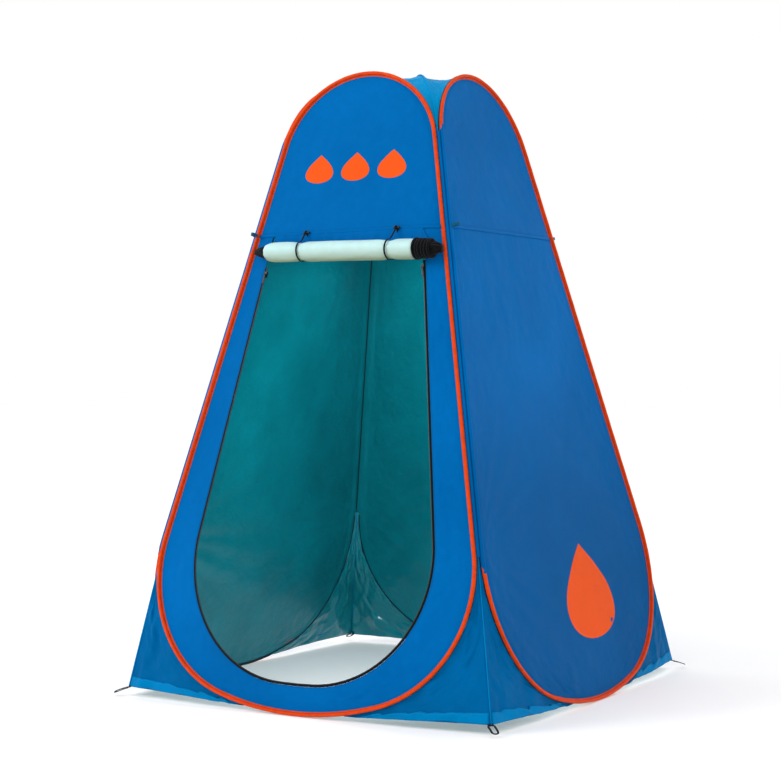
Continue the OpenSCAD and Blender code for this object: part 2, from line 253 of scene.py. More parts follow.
class Nodes:
    """A material's node tree, with a short way to add and link nodes."""

    def __init__(self, name, material=None):
        self.material = material or bpy.data.materials.new(name)
        self.material.use_nodes = True
        self.tree = self.material.node_tree
        self.shader = self.tree.nodes["Principled BSDF"]
        self.coords = self.tree.nodes.get("Texture Coordinate") or self.add("TexCoord")

    def add(self, kind, settings=(), **inputs):
        node = self.tree.nodes.new("ShaderNode" + kind)
        for key, value in dict(settings).items():
            setattr(node, key, value)
        for key, value in inputs.items():
            socket = node.inputs[int(key[1:]) if key[0] == "_" and key[1:].isdigit() else key]
            if isinstance(value, bpy.types.NodeSocket):
                self.tree.links.new(value, socket)
            else:
                socket.default_value = value
        return node

    def set(self, **inputs):
        for key, value in inputs.items():
            socket = self.shader.inputs[key.replace("_", " ")]
            if isinstance(value, bpy.types.NodeSocket):
                self.tree.links.new(value, socket)
            else:
                socket.default_value = value
        return self

    def noise(self, scale, detail=3, roughness=0.5):
        place = self.coords.outputs["Object"]
        node = self.add("TexNoise", Scale=scale, Detail=detail, Roughness=roughness, Vector=place)
        return node.outputs["Fac"]

    def ramp(self, factor, stops):
        node = self.add("ValToRGB", Fac=factor)
        ramp = node.color_ramp
        while len(ramp.elements) < len(stops):
            ramp.elements.new(0.5)
        for element, (at, colour) in zip(ramp.elements, stops):
            element.position = at
            element.color = colour
        return node.outputs["Color"]

    def math(self, operation, a, b=0.5):
        return self.add("Math", {"operation": operation}, _0=a, _1=b).outputs[0]

    def threads(self, pitch):
        """Crossing threads of a plain weave, from 0 to 1, along the UV map's two directions."""
        sides = self.add("SeparateXYZ", Vector=self.coords.outputs["UV"])
        turn = math.pi / pitch
        waves = []
        for axis in ("X", "Y"):
            wave = self.math("SINE", self.math("MULTIPLY", sides.outputs[axis], turn))
            waves.append(self.math("ABSOLUTE", wave))
        return self.math("MULTIPLY", waves[0], waves[1])

    def bump(self, *layers):
        """Chains bumps, each (height, strength, distance), into the shader's normal."""
        normal = None
        for height, strength, distance in layers:
            node = self.add("Bump", Height=height, Strength=strength, Distance=distance)
            if normal is not None:
                self.tree.links.new(normal, node.inputs["Normal"])
            normal = node.outputs["Normal"]
        self.tree.links.new(normal, self.shader.inputs["Normal"])
        return self


def shade(colour, gain):
    return tuple(min(1, c * gain) for c in colour[:3]) + (1,)


def cloth_material(name, code, roughness=0.5, contrast=0.10, foot=1.0):
    """Coated polyester: fine weave, slow changes of tone, faint creases and a soft satin face.

    Its colour is multiplied by foot at the ground, and less and less up to 1 m: painted shade, darker
    towards the foot."""
    n = Nodes(name)
    base = srgb(code)
    slow = n.noise(2.6, 4)
    tone = n.ramp(slow, [(0.3, shade(base, 1 - contrast)), (0.72, shade(base, 1 + contrast))])
    dust = n.ramp(n.noise(34, 5, 0.65), [(0.35, (0.93, 0.93, 0.93, 1)), (0.7, (1, 1, 1, 1))])
    mix = n.add("Mix", {"data_type": "RGBA", "blend_type": "MULTIPLY"}, Factor=1.0)
    n.tree.links.new(tone, mix.inputs["A"])
    n.tree.links.new(dust, mix.inputs["B"])
    # Painted shade: the colour is darkened towards the ground by the factor foot.
    height = n.add("SeparateXYZ", Vector=n.coords.outputs["Object"]).outputs["Z"]
    foot_shade_gains = ((0.2, foot), (0.6, (1 + 2 * foot) / 3), (1, 1))
    foot_shade_greys = [(at, shade((1, 1, 1), gain)) for at, gain in foot_shade_gains]
    painted_foot_shade = n.add("Mix", {"data_type": "RGBA", "blend_type": "MULTIPLY"}, Factor=1.0)
    n.tree.links.new(mix.outputs["Result"], painted_foot_shade.inputs["A"])
    n.tree.links.new(n.ramp(height, foot_shade_greys), painted_foot_shade.inputs["B"])
    n.set(Base_Color=painted_foot_shade.outputs["Result"])
    rough = n.add("MapRange", Value=n.noise(9, 3))
    rough.inputs["To Min"].default_value = roughness - 0.06
    rough.inputs["To Max"].default_value = roughness + 0.08
    n.set(Roughness=rough.outputs["Result"])
    n.set(Specular_IOR_Level=0.4, Specular_Tint=shade(base, 1.6), IOR=1.12)
    creases = n.noise(7, 6, 0.6)
    n.bump((creases, 0.25, 0.004), (n.threads(WEAVE), 0.35, 0.0003))
    return n.material


def lining_material(name, code, under):
    """The rolled door's silver lining, with an olive band along the roll's underside: painted shade."""
    material = cloth_material(name, code, roughness=0.42, contrast=0.06)
    n = Nodes(name, material)
    sides = n.add("SeparateXYZ", Vector=n.coords.outputs["UV"])
    # Painted shade: an olive band along the roll's underside, placed by the UV map's length.
    band = n.ramp(n.math("MULTIPLY", sides.outputs["Y"], 2), [
        (0.12, (0, 0, 0, 1)), (0.20, (1, 1, 1, 1)), (0.25, (1, 1, 1, 1)), (0.34, (0, 0, 0, 1))])
    mix = n.add("Mix", {"data_type": "RGBA"}, Factor=band)
    source = n.shader.inputs["Base Color"].links[0].from_socket
    n.tree.links.new(source, mix.inputs["A"])
    mix.inputs["B"].default_value = srgb(under)
    n.set(Base_Color=mix.outputs["Result"])
    return material


def inner_material(name, code, crinkle=0.5, gloss=0.10):
    """The coated inner face: teal, smoother and shinier than the outside, with fine crinkles."""
    n = Nodes(name)
    base = srgb(code)
    tone = n.ramp(n.noise(3.2, 5, 0.6), [(0.3, shade(base, 0.8)), (0.7, shade(base, 1.25))])
    n.set(Base_Color=tone, Roughness=0.32, Specular_IOR_Level=0.7, Specular_Tint=shade(base, 2.5))
    n.set(Coat_Weight=gloss, Coat_Roughness=0.16)
    n.bump((n.noise(11, 8, 0.62), crinkle, 0.010), (n.threads(WEAVE), 0.25, 0.0003))
    return n.material


def tape_material(name, code, roughness=0.72, rib=0.0012, contrast=0.12):
    """Woven tape: ribs across it, a little fuzz, and rubbed tone."""
    n = Nodes(name)
    base = srgb(code)
    tone = n.ramp(n.noise(60, 4), [(0.3, shade(base, 1 - contrast)), (0.7, shade(base, 1 + contrast))])
    n.set(Base_Color=tone, Roughness=roughness, Sheen_Weight=0.06, Sheen_Roughness=0.5)
    n.set(Specular_IOR_Level=0.2, Specular_Tint=shade(base, 1.6))
    n.bump((n.threads(rib), 0.7, 0.0004), (n.noise(420, 3), 0.2, 0.0004))
    return n.material


def hard_material(name, code, roughness, metallic=0.0, scratch=220):
    """Metal or moulded plastic, with fine scratches and a worn sheen."""
    n = Nodes(name)
    base = srgb(code)
    tone = n.ramp(n.noise(45, 5), [(0.35, shade(base, 0.85)), (0.7, shade(base, 1.15))])
    rough = n.add("MapRange", Value=n.noise(scratch, 4, 0.7))
    rough.inputs["To Min"].default_value = roughness * 0.8
    rough.inputs["To Max"].default_value = min(1, roughness * 1.3)
    n.set(Base_Color=tone, Roughness=rough.outputs["Result"], Metallic=metallic)
    n.bump((n.noise(scratch, 4, 0.7), 0.12, 0.0004))
    return n.material


MATERIAL = {
    "front": cloth_material("front_cloth", "0060A4"),
    # The side walls' and corners' cloths are the front's blue painted darker towards the ground (foot
    # below 1): painted shade.
    "side": cloth_material("side_cloth", "0062A8", foot=0.70),
    "corner": cloth_material("corner_cloth", "00619C", contrast=0.16, foot=0.9),
    "roof": cloth_material("roof_cloth", "0090CC", roughness=0.44),
    "inside": inner_material("inner_coating", "04707C", crinkle=0.65, gloss=0.2),
    "inside_corner": inner_material("inner_corner", "047480", crinkle=1.0, gloss=0.6),
    # The lining's olive underside colour is painted shade.
    "door": lining_material("door_lining", "BCDEDD", "8E9C80"),
    "door_back": cloth_material("door_outside", "0060A4", contrast=0.12),
    "piping": tape_material("piping_tape", "D9430F"),
    "piping_thread": tape_material("piping_thread", "F07038", rib=0.0006),
    "blue_thread": tape_material("blue_thread", "2C8CCB", rib=0.0006),
    "dark_thread": tape_material("dark_thread", "0A3552", rib=0.0006),
    "webbing": tape_material("black_webbing", "17181B", rib=0.0016),
    "navy_webbing": tape_material("navy_webbing", "12285A", rib=0.0016),
    "tab": tape_material("tab_tape", "14506F", rib=0.0014),
    "cord": tape_material("tie_cord", "101114", rib=0.0010),
    "zip": tape_material("zip_tape", "0E0F12", rib=0.0009),
    "teeth": hard_material("zip_teeth", "1B1C20", 0.38),
    "enamel": hard_material("zip_enamel", "1D1E22", 0.32, 0.6),
    "toggle": hard_material("toggle_plastic", "141518", 0.45),
    "steel": hard_material("spring_steel", "B8BCC0", 0.3, 1.0),
    "crimp": hard_material("crimp_tube", "C9CACC", 0.36, 1.0),
    "binding": tape_material("seam_binding", "072A33", rib=0.0010),
    "hem": cloth_material("hem_cloth", "0079B4", contrast=0.12),
    "print": cloth_material("orange_print", "E8551D", roughness=0.4, contrast=0.05),
}

# ---------------------------------------------------------------- mesh helpers


def new_object(name, vertices, faces, materials, uv=None, smooth=True, index=None):
    mesh = bpy.data.meshes.new(name)
    mesh.from_pydata([tuple(p) for p in vertices], [], [tuple(int(i) for i in f) for f in faces])
    for m in materials:
        mesh.materials.append(MATERIAL[m])
    if index is not None:
        mesh.polygons.foreach_set("material_index", index)
    if uv is not None:
        layer = mesh.uv_layers.new(name="UVMap")
        loops = np.zeros(len(mesh.loops), int)
        mesh.loops.foreach_get("vertex_index", loops)
        layer.data.foreach_set("uv", np.asarray(uv, float)[loops].ravel())
    mesh.polygons.foreach_set("use_smooth", [smooth] * len(mesh.polygons))
    mesh.update()
    obj = bpy.data.objects.new(name, mesh)
    bpy.context.scene.collection.objects.link(obj)
    return obj


def grid_faces(rows, cols, wrap=False, flip=False):
    """Quads of a grid of rows by cols points, joined up across the columns if wrap."""
    i, j = np.meshgrid(np.arange(rows - 1), np.arange(cols if wrap else cols - 1), indexing="ij")
    i, j = i.ravel(), j.ravel()
    right = (j + 1) % cols
    quads = np.stack([i * cols + j, i * cols + right, (i + 1) * cols + right, (i + 1) * cols + j], 1)
    return quads[:, ::-1] if flip else quads


def applied(obj):
    """obj with its modifiers applied to its mesh."""
    graph = bpy.context.evaluated_depsgraph_get()
    mesh = bpy.data.meshes.new_from_object(obj.evaluated_get(graph))
    old = obj.data
    obj.modifiers.clear()
    obj.data = mesh
    bpy.data.meshes.remove(old)
    return obj


def thicken(obj, thickness=CLOTH_T, offset=-1, levels=0):
    """Turns a single face of cloth into a closed sheet, whose second material is its back."""
    if levels:
        smooth = obj.modifiers.new("smooth", "SUBSURF")
        smooth.levels = levels
        smooth.render_levels = levels
    solid = obj.modifiers.new("thickness", "SOLIDIFY")
    solid.thickness = thickness
    solid.offset = offset
    solid.material_offset = 1 if len(obj.data.materials) > 1 else 0
    solid.use_even_offset = False
    return applied(obj)


def sweep(path, normals, section, closed=False):
    """Vertices of a section carried along a path: its points are along the normal and binormal."""
    path = np.asarray(path, float)
    normals = np.broadcast_to(normals, path.shape)
    if closed:
        tangent = np.roll(path, -1, 0) - np.roll(path, 1, 0)
    else:
        tangent = np.gradient(path, axis=0)
    tangent /= np.linalg.norm(tangent, axis=1)[:, None]
    normals = normals - (normals * tangent).sum(1)[:, None] * tangent
    normals /= np.linalg.norm(normals, axis=1)[:, None]
    binormal = np.cross(tangent, normals)
    section = np.asarray(section, float)
    if section.ndim == 2:
        section = np.broadcast_to(section, (len(path),) + section.shape)
    return (path[:, None] + section[..., :1] * normals[:, None] + section[..., 1:] * binormal[:, None])


def tube_mesh(rings, closed):
    """Vertices and faces of swept rings, joined end to end if closed, with caps if not."""
    count, size = rings.shape[:2]
    vertices = rings.reshape(-1, 3)
    if closed:
        last = (count - 1) * size
        joins = [[last + j, last + (j + 1) % size, (j + 1) % size, j] for j in range(size)]
        return vertices, [tuple(f) for f in np.vstack([grid_faces(count, size, wrap=True), joins])]
    faces = [tuple(f) for f in grid_faces(count, size, wrap=True)]
    faces.append(tuple(range(size - 1, -1, -1)))
    faces.append(tuple((count - 1) * size + j for j in range(size)))
    return vertices, faces


def tube_uv(path, size, width):
    """Lengthwise and crosswise places of a swept ring's points, in metres."""
    steps = np.concatenate([[0], np.cumsum(np.linalg.norm(np.diff(path, axis=0), axis=1))])
    across = np.linspace(0, width, size, endpoint=False)
    return np.stack(np.meshgrid(steps, across, indexing="ij"), -1).reshape(-1, 2)


def ellipse(a, b, n=12, power=1.0):
    """Points round an ellipse, squarer as power falls below 1."""
    t = np.linspace(0, 2 * math.pi, n, endpoint=False)
    c, s = np.cos(t), np.sin(t)
    return np.stack([a * np.sign(c) * np.abs(c) ** power, b * np.sign(s) * np.abs(s) ** power], -1)


def resample(points, step, closed=False):
    """Points at even steps along a line."""
    points = np.asarray(points, float)
    if closed:
        points = np.vstack([points, points[:1]])
    at = np.concatenate([[0], np.cumsum(np.linalg.norm(np.diff(points, axis=0), axis=1))])
    n = max(3, int(round(at[-1] / step)) + 1)
    want = np.linspace(0, at[-1], n)
    if closed:
        want = want[:-1]
    return np.stack([np.interp(want, at, points[:, i]) for i in range(points.shape[1])], 1)


def joined(*parts):
    """Vertices, faces and UVs of several (vertices, faces, UVs), as one."""
    faces = []
    start = 0
    for vertices, part, _ in parts:
        faces.extend(tuple(i + start for i in f) for f in part)
        start += len(vertices)
    return np.vstack([p[0] for p in parts]), faces, np.vstack([p[2] for p in parts])


def swept(path, normals, section, width, closed=False):
    """Vertices, faces and UVs of a section swept along a path. Width is its way round, for the UVs."""
    vertices, faces = tube_mesh(sweep(path, normals, section, closed), closed)
    return vertices, faces, tube_uv(path, np.shape(section)[-2], width)


def add_swept(name, material, *parts):
    """One object made of swept parts."""
    vertices, faces, uv = joined(*parts)
    return new_object(name, vertices, faces, [material], uv)


def dress(obj, body, node=None):
    """Makes a piece ride on a body, and hides the CAD node it stands for, if any."""
    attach(obj, body)
    if node:
        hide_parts(node)


def stitches(lines, pitch=0.005, length=0.0034, radius=0.0005):
    """Short raised stitches along lines, each (points, outward directions), as vertices and faces."""
    vertices = []
    faces = []
    for points, outs in lines:
        both = resample(np.hstack([points, np.broadcast_to(outs, np.shape(points))]), pitch)
        centre, up = both[:, :3], both[:, 3:]
        along = np.gradient(centre, axis=0)
        along /= np.linalg.norm(along, axis=1)[:, None]
        up = up / np.linalg.norm(up, axis=1)[:, None]
        side = np.cross(along, up)
        corners = [centre - along * length / 2, centre + along * length / 2,
                   centre + up * radius, centre - up * radius,
                   centre + side * radius, centre - side * radius]
        start = len(vertices)
        vertices.extend(np.stack(corners, 1).reshape(-1, 3))
        for i in range(len(centre)):
            b = start + 6 * i
            for end, turn in ((0, 1), (1, -1)):
                ring = [2, 4, 3, 5][::turn]
                for m in range(4):
                    faces.append((b + end, b + ring[(m + 1) % 4], b + ring[m]))
    return np.array(vertices), faces


def smooth_noise(shape, scale, seed):
    """A smooth field of values near -1 to 1, with features about scale grid points apart."""
    r = np.random.default_rng(seed)
    rows, cols = shape
    a = max(3, int(rows / scale[0]) + 3)
    b = max(3, int(cols / scale[1]) + 3)
    coarse = r.uniform(-1, 1, (a, b))
    y = np.linspace(0.5, a - 1.5, rows)
    x = np.linspace(0.5, b - 1.5, cols)
    yi, xi = np.floor(y).astype(int), np.floor(x).astype(int)
    ty, tx = y - yi, x - xi
    ty, tx = (ty * ty * (3 - 2 * ty))[:, None], (tx * tx * (3 - 2 * tx))[None]

    def corner(p, q):
        return coarse[np.clip(yi + p, 0, a - 1)][:, np.clip(xi + q, 0, b - 1)]

    left = corner(0, 0) * (1 - ty) + corner(1, 0) * ty
    right = corner(0, 1) * (1 - ty) + corner(1, 1) * ty
    return left * (1 - tx) + right * tx


# ---------------------------------------------------------------- cloth simulation

DRAPE_FRAMES = 22
# Every single-faced cloth waiting for the simulation: (object, how far its points may move)
waiting = []


def to_drape(obj, pins, slack, limit):
    """Sets a cloth up to settle with its pinned points held. Slack is how much longer it is cut."""
    waiting.append((obj, limit))
    group = obj.vertex_groups.new(name="pins")
    for level in np.unique(np.round(pins, 2)):
        if level > 0:
            group.add(np.flatnonzero(np.round(pins, 2) == level).tolist(), float(level), "REPLACE")
    cloth = obj.modifiers.new("cloth", "CLOTH")
    c = cloth.settings
    c.quality = 6
    c.mass = 0.02
    c.tension_stiffness = 30
    c.compression_stiffness = 12
    c.shear_stiffness = 6
    c.bending_stiffness = 0.25
    c.tension_damping = 12
    c.compression_damping = 12
    c.shear_damping = 12
    c.bending_damping = 2
    c.air_damping = 4
    c.shrink_min = -slack
    c.vertex_group_mass = "pins"
    c.pin_stiffness = 8
    cloth.collision_settings.use_collision = False
    cloth.point_cache.frame_start = 1
    cloth.point_cache.frame_end = DRAPE_FRAMES


def mesh_points(mesh):
    points = np.zeros(len(mesh.vertices) * 3)
    mesh.vertices.foreach_get("co", points)
    return points.reshape(-1, 3)


def drape_all():
    """Runs the simulation once for every waiting cloth, and keeps what it gives."""
    scene = bpy.context.scene
    scene.frame_start = 1
    scene.frame_end = DRAPE_FRAMES
    for step in range(1, DRAPE_FRAMES + 1):
        scene.frame_set(step)
    for obj, limit in waiting:
        before = mesh_points(obj.data)
        applied(obj)
        moved = mesh_points(obj.data) - before
        far = np.linalg.norm(moved, axis=1)[:, None]
        moved = moved * np.minimum(1, limit / np.maximum(far, 1e-9))
        obj.data.vertices.foreach_set("co", (before + moved).ravel())
        obj.vertex_groups.clear()
    scene.frame_set(1)
    waiting.clear()


# ---------------------------------------------------------------- wall cloth

STEP = 0.016


def rim_rows(low, high, step=STEP):
    """Heights of the rows between two levels, closer together where the hoop curves in."""
    v = np.linspace(low, high, 1201)
    u = half_width(v)
    pace = np.concatenate([[0], np.cumsum(np.hypot(np.diff(v), 0.4 * np.diff(u)))])
    return np.interp(np.linspace(0, pace[-1], int(pace[-1] / step) + 2), pace, v)



def rim_distance(u, v):
    """Distance in from the cloth's rim, roughly."""
    beside = half_width(v) - np.abs(u)
    return np.minimum(beside, np.minimum(v - FOOT_V, TOP_V - v))


def cloth_depth(u, v):
    """How far off the wall's plane the cloth stands: full in the middle, none under the piping."""
    t = np.clip((rim_distance(u, v) - 0.014) / 0.045, 0, 1)
    return RIM_LIFT + (CLOTH_W - RIM_LIFT) * t * t * (3 - 2 * t)


def wrinkles(u, v, seed):
    """Slack in a hoop's cloth: long shallow waves, puckers under the cross seam, pulls at the foot."""
    r = np.random.default_rng(seed)
    total = 0.0022 * np.sin(2.1 * u + 1.7 * v + r.uniform(0, 6)) * np.sin(2.3 * v + r.uniform(0, 6))
    for _ in range(9):
        angle = r.uniform(-0.5, 0.5) + r.choice([-1, 1]) * 0.9
        at = np.array([r.uniform(-0.4, 0.4), r.uniform(0.1, 0.8)])
        along = (u - at[0]) * math.cos(angle) + (v - at[1]) * math.sin(angle)
        across = -(u - at[0]) * math.sin(angle) + (v - at[1]) * math.cos(angle)
        size = r.uniform(0.12, 0.3)
        width = r.uniform(0.012, 0.028)
        ridge = np.exp(-(along / size) ** 2 - (across / width) ** 2)
        total = total + r.choice([-1, 1]) * r.uniform(0.0006, 0.0016) * ridge
    gap = SEAM_V - v
    pucker = np.where(gap > 0, np.exp(-gap / 0.05), np.exp(gap / 0.03))
    pucker = pucker * (1 - np.exp(-np.abs(gap) / 0.006))
    phase = 2 * math.pi * u / 0.036 + 1.4 * np.sin(u * 23 + r.uniform(0, 6))
    total = total + 0.0011 * pucker * np.sin(phase) * (0.6 + 0.4 * np.sin(u * 17 + 1))
    for side in (-1, 1):
        total = total + corner_pulls(side * u, v, r)
    return total


def corner_pulls(u, v, r):
    """Folds that fan out across the cloth from where the hoops part."""
    du, dv = float(half_width(CORNER_V)) - u, v - CORNER_V
    reach = np.hypot(du, dv)
    angle = np.arctan2(dv, du)
    fade = np.exp(-reach / 0.42) * (1 - np.exp(-((reach / 0.10) ** 2)))
    total = 0 * u
    for middle in np.linspace(-0.75, 1.25, 9) + r.uniform(-0.08, 0.08, 9):
        sharp = r.uniform(0.05, 0.09)
        total = total + r.uniform(0.5, 1.1) * np.exp(-((angle - middle) / sharp) ** 2)
    return 0.0060 * fade * total


def rim_pins(u, v, spread=0.03):
    """Pin weights: held under the piping and at the cross seam, free in the middle."""
    rim = np.clip(1 - (rim_distance(u, v) - 0.012) / spread, 0, 1)
    seam = np.clip(1 - np.abs(v - SEAM_V) / 0.02, 0, 1)
    return np.clip(rim + seam, 0, 1).ravel()


def panel(k, name, low, high, cloth, folds=1.0):
    """A wall's cloth between two heights."""
    v = rim_rows(low, high)
    cols = 73
    across = np.sin(np.linspace(-1, 1, cols) * math.pi / 2 * 0.92) / math.sin(math.pi / 2 * 0.92)
    vv = np.repeat(v[:, None], cols, 1)
    uu = half_width(v)[:, None] * across[None]
    w = cloth_depth(uu, vv)
    w = w + folds * w / CLOTH_W * wrinkles(uu, vv, 20 + k)
    points = wall_point(k, uu, vv, w)
    uv = np.stack([uu, vv], -1).reshape(-1, 2)
    obj = new_object(name, points.reshape(-1, 3), grid_faces(len(v), cols), [cloth, "inside"], uv)
    to_drape(obj, rim_pins(uu, vv), 0.0012, 0.012)
    return obj


def flat_area(low, high):
    """Area of the flat cut between two heights."""
    v = np.linspace(low, high, 400)
    return float((half_width(v)[1:] + half_width(v)[:-1]) @ np.diff(v))


# ---------------------------------------------------------------- doorway surround


def door_half_line(step=0.01, grow=0.0, top=SEAM_V):
    """The doorway's right half, from the middle of its bottom edge up to a level."""
    points = []

    def add_arc(centre, r, a0, a1):
        n = max(2, int(r * abs(a1 - a0) / step))
        for a in np.linspace(a0, a1, n, endpoint=False):
            points.append(on_arc(centre, r, a))

    add_arc(DOOR_FOOT_C, DOOR_FOOT_R + grow, -math.pi / 2, -math.pi / 2 + DOOR_FOOT_A)
    add_arc(DOOR_SIDE_C, DOOR_SIDE_R + grow, -math.pi / 2 + DOOR_FOOT_A, DOOR_A)
    low = on_arc(DOOR_SIDE_C, DOOR_SIDE_R + grow, DOOR_A)
    end = np.array([DOOR_HALF + grow / math.cos(DOOR_A) - DOOR_SLOPE * top, top])
    n = int(np.linalg.norm(end - low) / step)
    for t in np.linspace(0, 1, n + 1):
        points.append(low + t * (end - low))
    return np.array(points)


def door_line(step=0.01, grow=0.0, top=SEAM_V):
    """The doorway's edge from its top left, round the bottom, to its top right."""
    half = door_half_line(step, grow, top)
    return np.vstack([half[::-1] * [-1, 1], half[1:]])


def matched_outer(door):
    """For each point of the doorway's half line, the point of the cloth's rim that faces it."""
    outer = []
    for p in door:
        if p[1] > SIDE_C[1]:
            outer.append([float(half_width(p[1])), p[1]])
            continue
        angle = math.atan2(p[1] - SIDE_C[1], p[0])
        reach = np.linspace(0, 0.9, 2000)
        ray_u = p[0] + reach * math.cos(angle)
        ray_v = p[1] + reach * math.sin(angle)
        inside = (ray_v > FOOT_V + 0.0005) & (ray_u < half_width(np.maximum(ray_v, FOOT_V)))
        last = int(np.argmin(inside)) - 1
        outer.append([ray_u[last], ray_v[last]])
    return np.array(outer)


def door_surround():
    """The front's lower cloth: a ring from the doorway's zip out to the hoop."""
    half = door_half_line(0.014)
    outer = matched_outer(half)
    flip = np.array([-1, 1])
    inner_line = np.vstack([half[::-1] * flip, half[1:]])
    outer_line = np.vstack([outer[::-1] * flip, outer[1:]])
    cols = 19
    s = np.linspace(0, 1, cols)
    flat = inner_line[:, None] + (outer_line - inner_line)[:, None] * s[None, :, None]
    uu, vv = flat[..., 0], flat[..., 1]
    w = cloth_depth(uu, vv)
    hug = np.clip(s / 0.12, 0, 1)[None]
    w = w + w / CLOTH_W * wrinkles(uu, vv, 20) * 0.7 * hug
    run = np.arange(len(inner_line))[:, None] * 0.014
    near_zip = np.clip(s / 0.05, 0, 1) * np.exp(-s / 0.16)
    w = w + 0.0016 * np.sin(2 * math.pi * run / 0.043 + 2 * np.sin(9 * run)) * near_zip[None]
    points = wall_point(0, uu, vv, w).reshape(-1, 3)
    obj = new_object("door_surround_cloth", points, grid_faces(len(inner_line), cols),
                     ["front", "inside"], flat.reshape(-1, 2))
    pins = np.maximum(rim_pins(uu, vv, 0.02), (np.clip(1 - s / 0.08, 0, 1)[None] + 0 * uu).ravel())
    to_drape(obj, pins, 0.0015, 0.010)
    return obj


# ---------------------------------------------------------------- gussets and roof


def low_rim(a):
    if a > -math.pi / 2 + FOOT_A:
        return on_arc(SIDE_C, SIDE_R, a)
    return on_arc(FOOT_C, FOOT_R, a)


HEM_A = math.radians(8)
# The gussets of a corner meet at this height, this far out
SPLIT_Z = CORNER_V * math.cos(LEAN)
SPLIT = BASE - SLOPE * SPLIT_Z - 0.004
# The corners' and roof's cloth is sewn on just inside the wall
RIM_W = -0.0006


def gusset_point(t, s):
    """A bottom corner's cloth on the front wall's right: t from the split to the ground, s to the seam."""
    seam = np.array([SPLIT, -SPLIT, SPLIT_Z])
    seam = seam + t * (np.array([PEG_HALF, -PEG_HALF, PEG_Z]) - seam)
    a = CORNER_A - t * (math.pi / 2 + CORNER_A - HEM_A)
    rim = wall_point(0, *low_rim(a), RIM_W)
    return rim + s * (seam - np.array([0.0008, 0, 0]) - rim)


def turn_to(k, points, mirror=False):
    """Points of the front wall, mirrored if asked, carried round to wall k."""
    points = np.array(points, float)
    if mirror:
        points[..., 0] *= -1
    c, s = [(1, 0), (0, 1), (-1, 0), (0, -1)][k]
    x, y = points[..., 0].copy(), points[..., 1].copy()
    points[..., 0] = x * c - y * s
    points[..., 1] = x * s + y * c
    return points


def corner_way(k):
    """The level direction out of the corner on wall k's left."""
    return turn_to(k, np.array([[-1.0, -1.0, 0.0]]))[0] / math.sqrt(2)


def surface_normals(points):
    """Unit directions square to a grid of points."""
    n = np.cross(np.gradient(points, axis=1), np.gradient(points, axis=0))
    return n / np.maximum(np.linalg.norm(n, axis=2)[..., None], 1e-12)


def grid_area(points):
    across = np.diff(points, axis=1)[:-1]
    down = np.diff(points, axis=0)[:, :-1]
    return float(np.linalg.norm(np.cross(across, down), axis=2).sum())


def gusset(k, left):
    """One side of a bottom corner, pulled into folds between the hoop and the corner's seam."""
    rows, cols = 46, 34
    t = np.linspace(0.004, 1, rows) ** 1.15
    s = np.linspace(0, 1, cols)
    points = np.array([[gusset_point(a, b) for b in s] for a in t])
    seed = 60 + 2 * k + left
    r = np.random.default_rng(seed)
    tt, ss = np.meshgrid(t, s, indexing="ij")
    pinned = np.clip(ss / 0.12, 0, 1) * np.clip((1 - ss) / 0.10, 0, 1) * np.clip(tt / 0.3, 0, 1)
    field = 0.0028 * smooth_noise(tt.shape, (9, 9), seed) + 0.0026 * smooth_noise(tt.shape, (4, 4), seed)
    for _ in range(9):
        angle = r.uniform(-0.4, 0.4) + r.choice([-0.75, 0.6])
        a0, b0 = r.uniform(0.35, 1.0), r.uniform(0.2, 0.9)
        along = (tt - a0) * math.cos(angle) + (ss - b0) * math.sin(angle)
        across = -(tt - a0) * math.sin(angle) + (ss - b0) * math.cos(angle)
        ridge = np.exp(-(along / r.uniform(0.2, 0.5)) ** 2 - (across / r.uniform(0.03, 0.07)) ** 2)
        field = field + r.choice([-1, 1]) * r.uniform(0.002, 0.0050) * ridge
    sag = -0.010 * np.sin(math.pi * ss) * tt
    points = points + surface_normals(points) * (pinned * field + sag)[..., None]
    points[..., 2] = np.maximum(points[..., 2], 0.001)
    area = grid_area(points)
    flat = (float(np.linalg.norm(points[-1, 0] - points[-1, -1])),
            float(np.linalg.norm(points[0, -1] - points[-1, -1])))
    points = turn_to(k, points, left)
    uv = np.stack([ss * flat[0], tt * flat[1]], -1).reshape(-1, 2)
    name = f"{WALLS[k]}_gusset_{'left' if left else 'right'}"
    obj = new_object(name + "_cloth", points.reshape(-1, 3), grid_faces(rows, cols, flip=not left),
                     ["corner", "inside_corner"], uv)
    hem = np.clip((tt - 0.93) / 0.05, 0, 1) * 0.5
    pins = np.clip(np.maximum(1 - ss / 0.06, 1 - (1 - ss) / 0.05), 0, 1)
    pins = np.maximum(np.maximum(pins, hem), np.clip(1 - tt / 0.15, 0, 1))
    to_drape(obj, pins.ravel(), 0.012, 0.010)
    return obj, name, flat, max(0.301 * flat[0] * flat[1], area)


ROOF_FLAT = 0.35
ROOF_SAG = 0.012


def arch_point(a):
    return wall_point(0, *on_arc(TOP_C, TOP_R, a), RIM_W)


def ridge_point(a):
    p = arch_point(a)
    half = (p[0] - p[1]) / 2
    return np.array([half, -half, p[2]])


def petal_edge(q):
    """The petal's inner edge, from the roof's middle (0) out to the corner (1)."""
    crown = ridge_point(math.pi / 2)
    middle = np.array([0, 0, crown[2] - ROOF_SAG])
    if q < ROOF_FLAT:
        edge = middle + q / ROOF_FLAT * (crown - middle)
    else:
        share = (q - ROOF_FLAT) / (1 - ROOF_FLAT)
        edge = ridge_point(math.pi / 2 - (math.pi / 2 - CORNER_A) * share)
    return edge + np.array([0, -0.0003, 0])


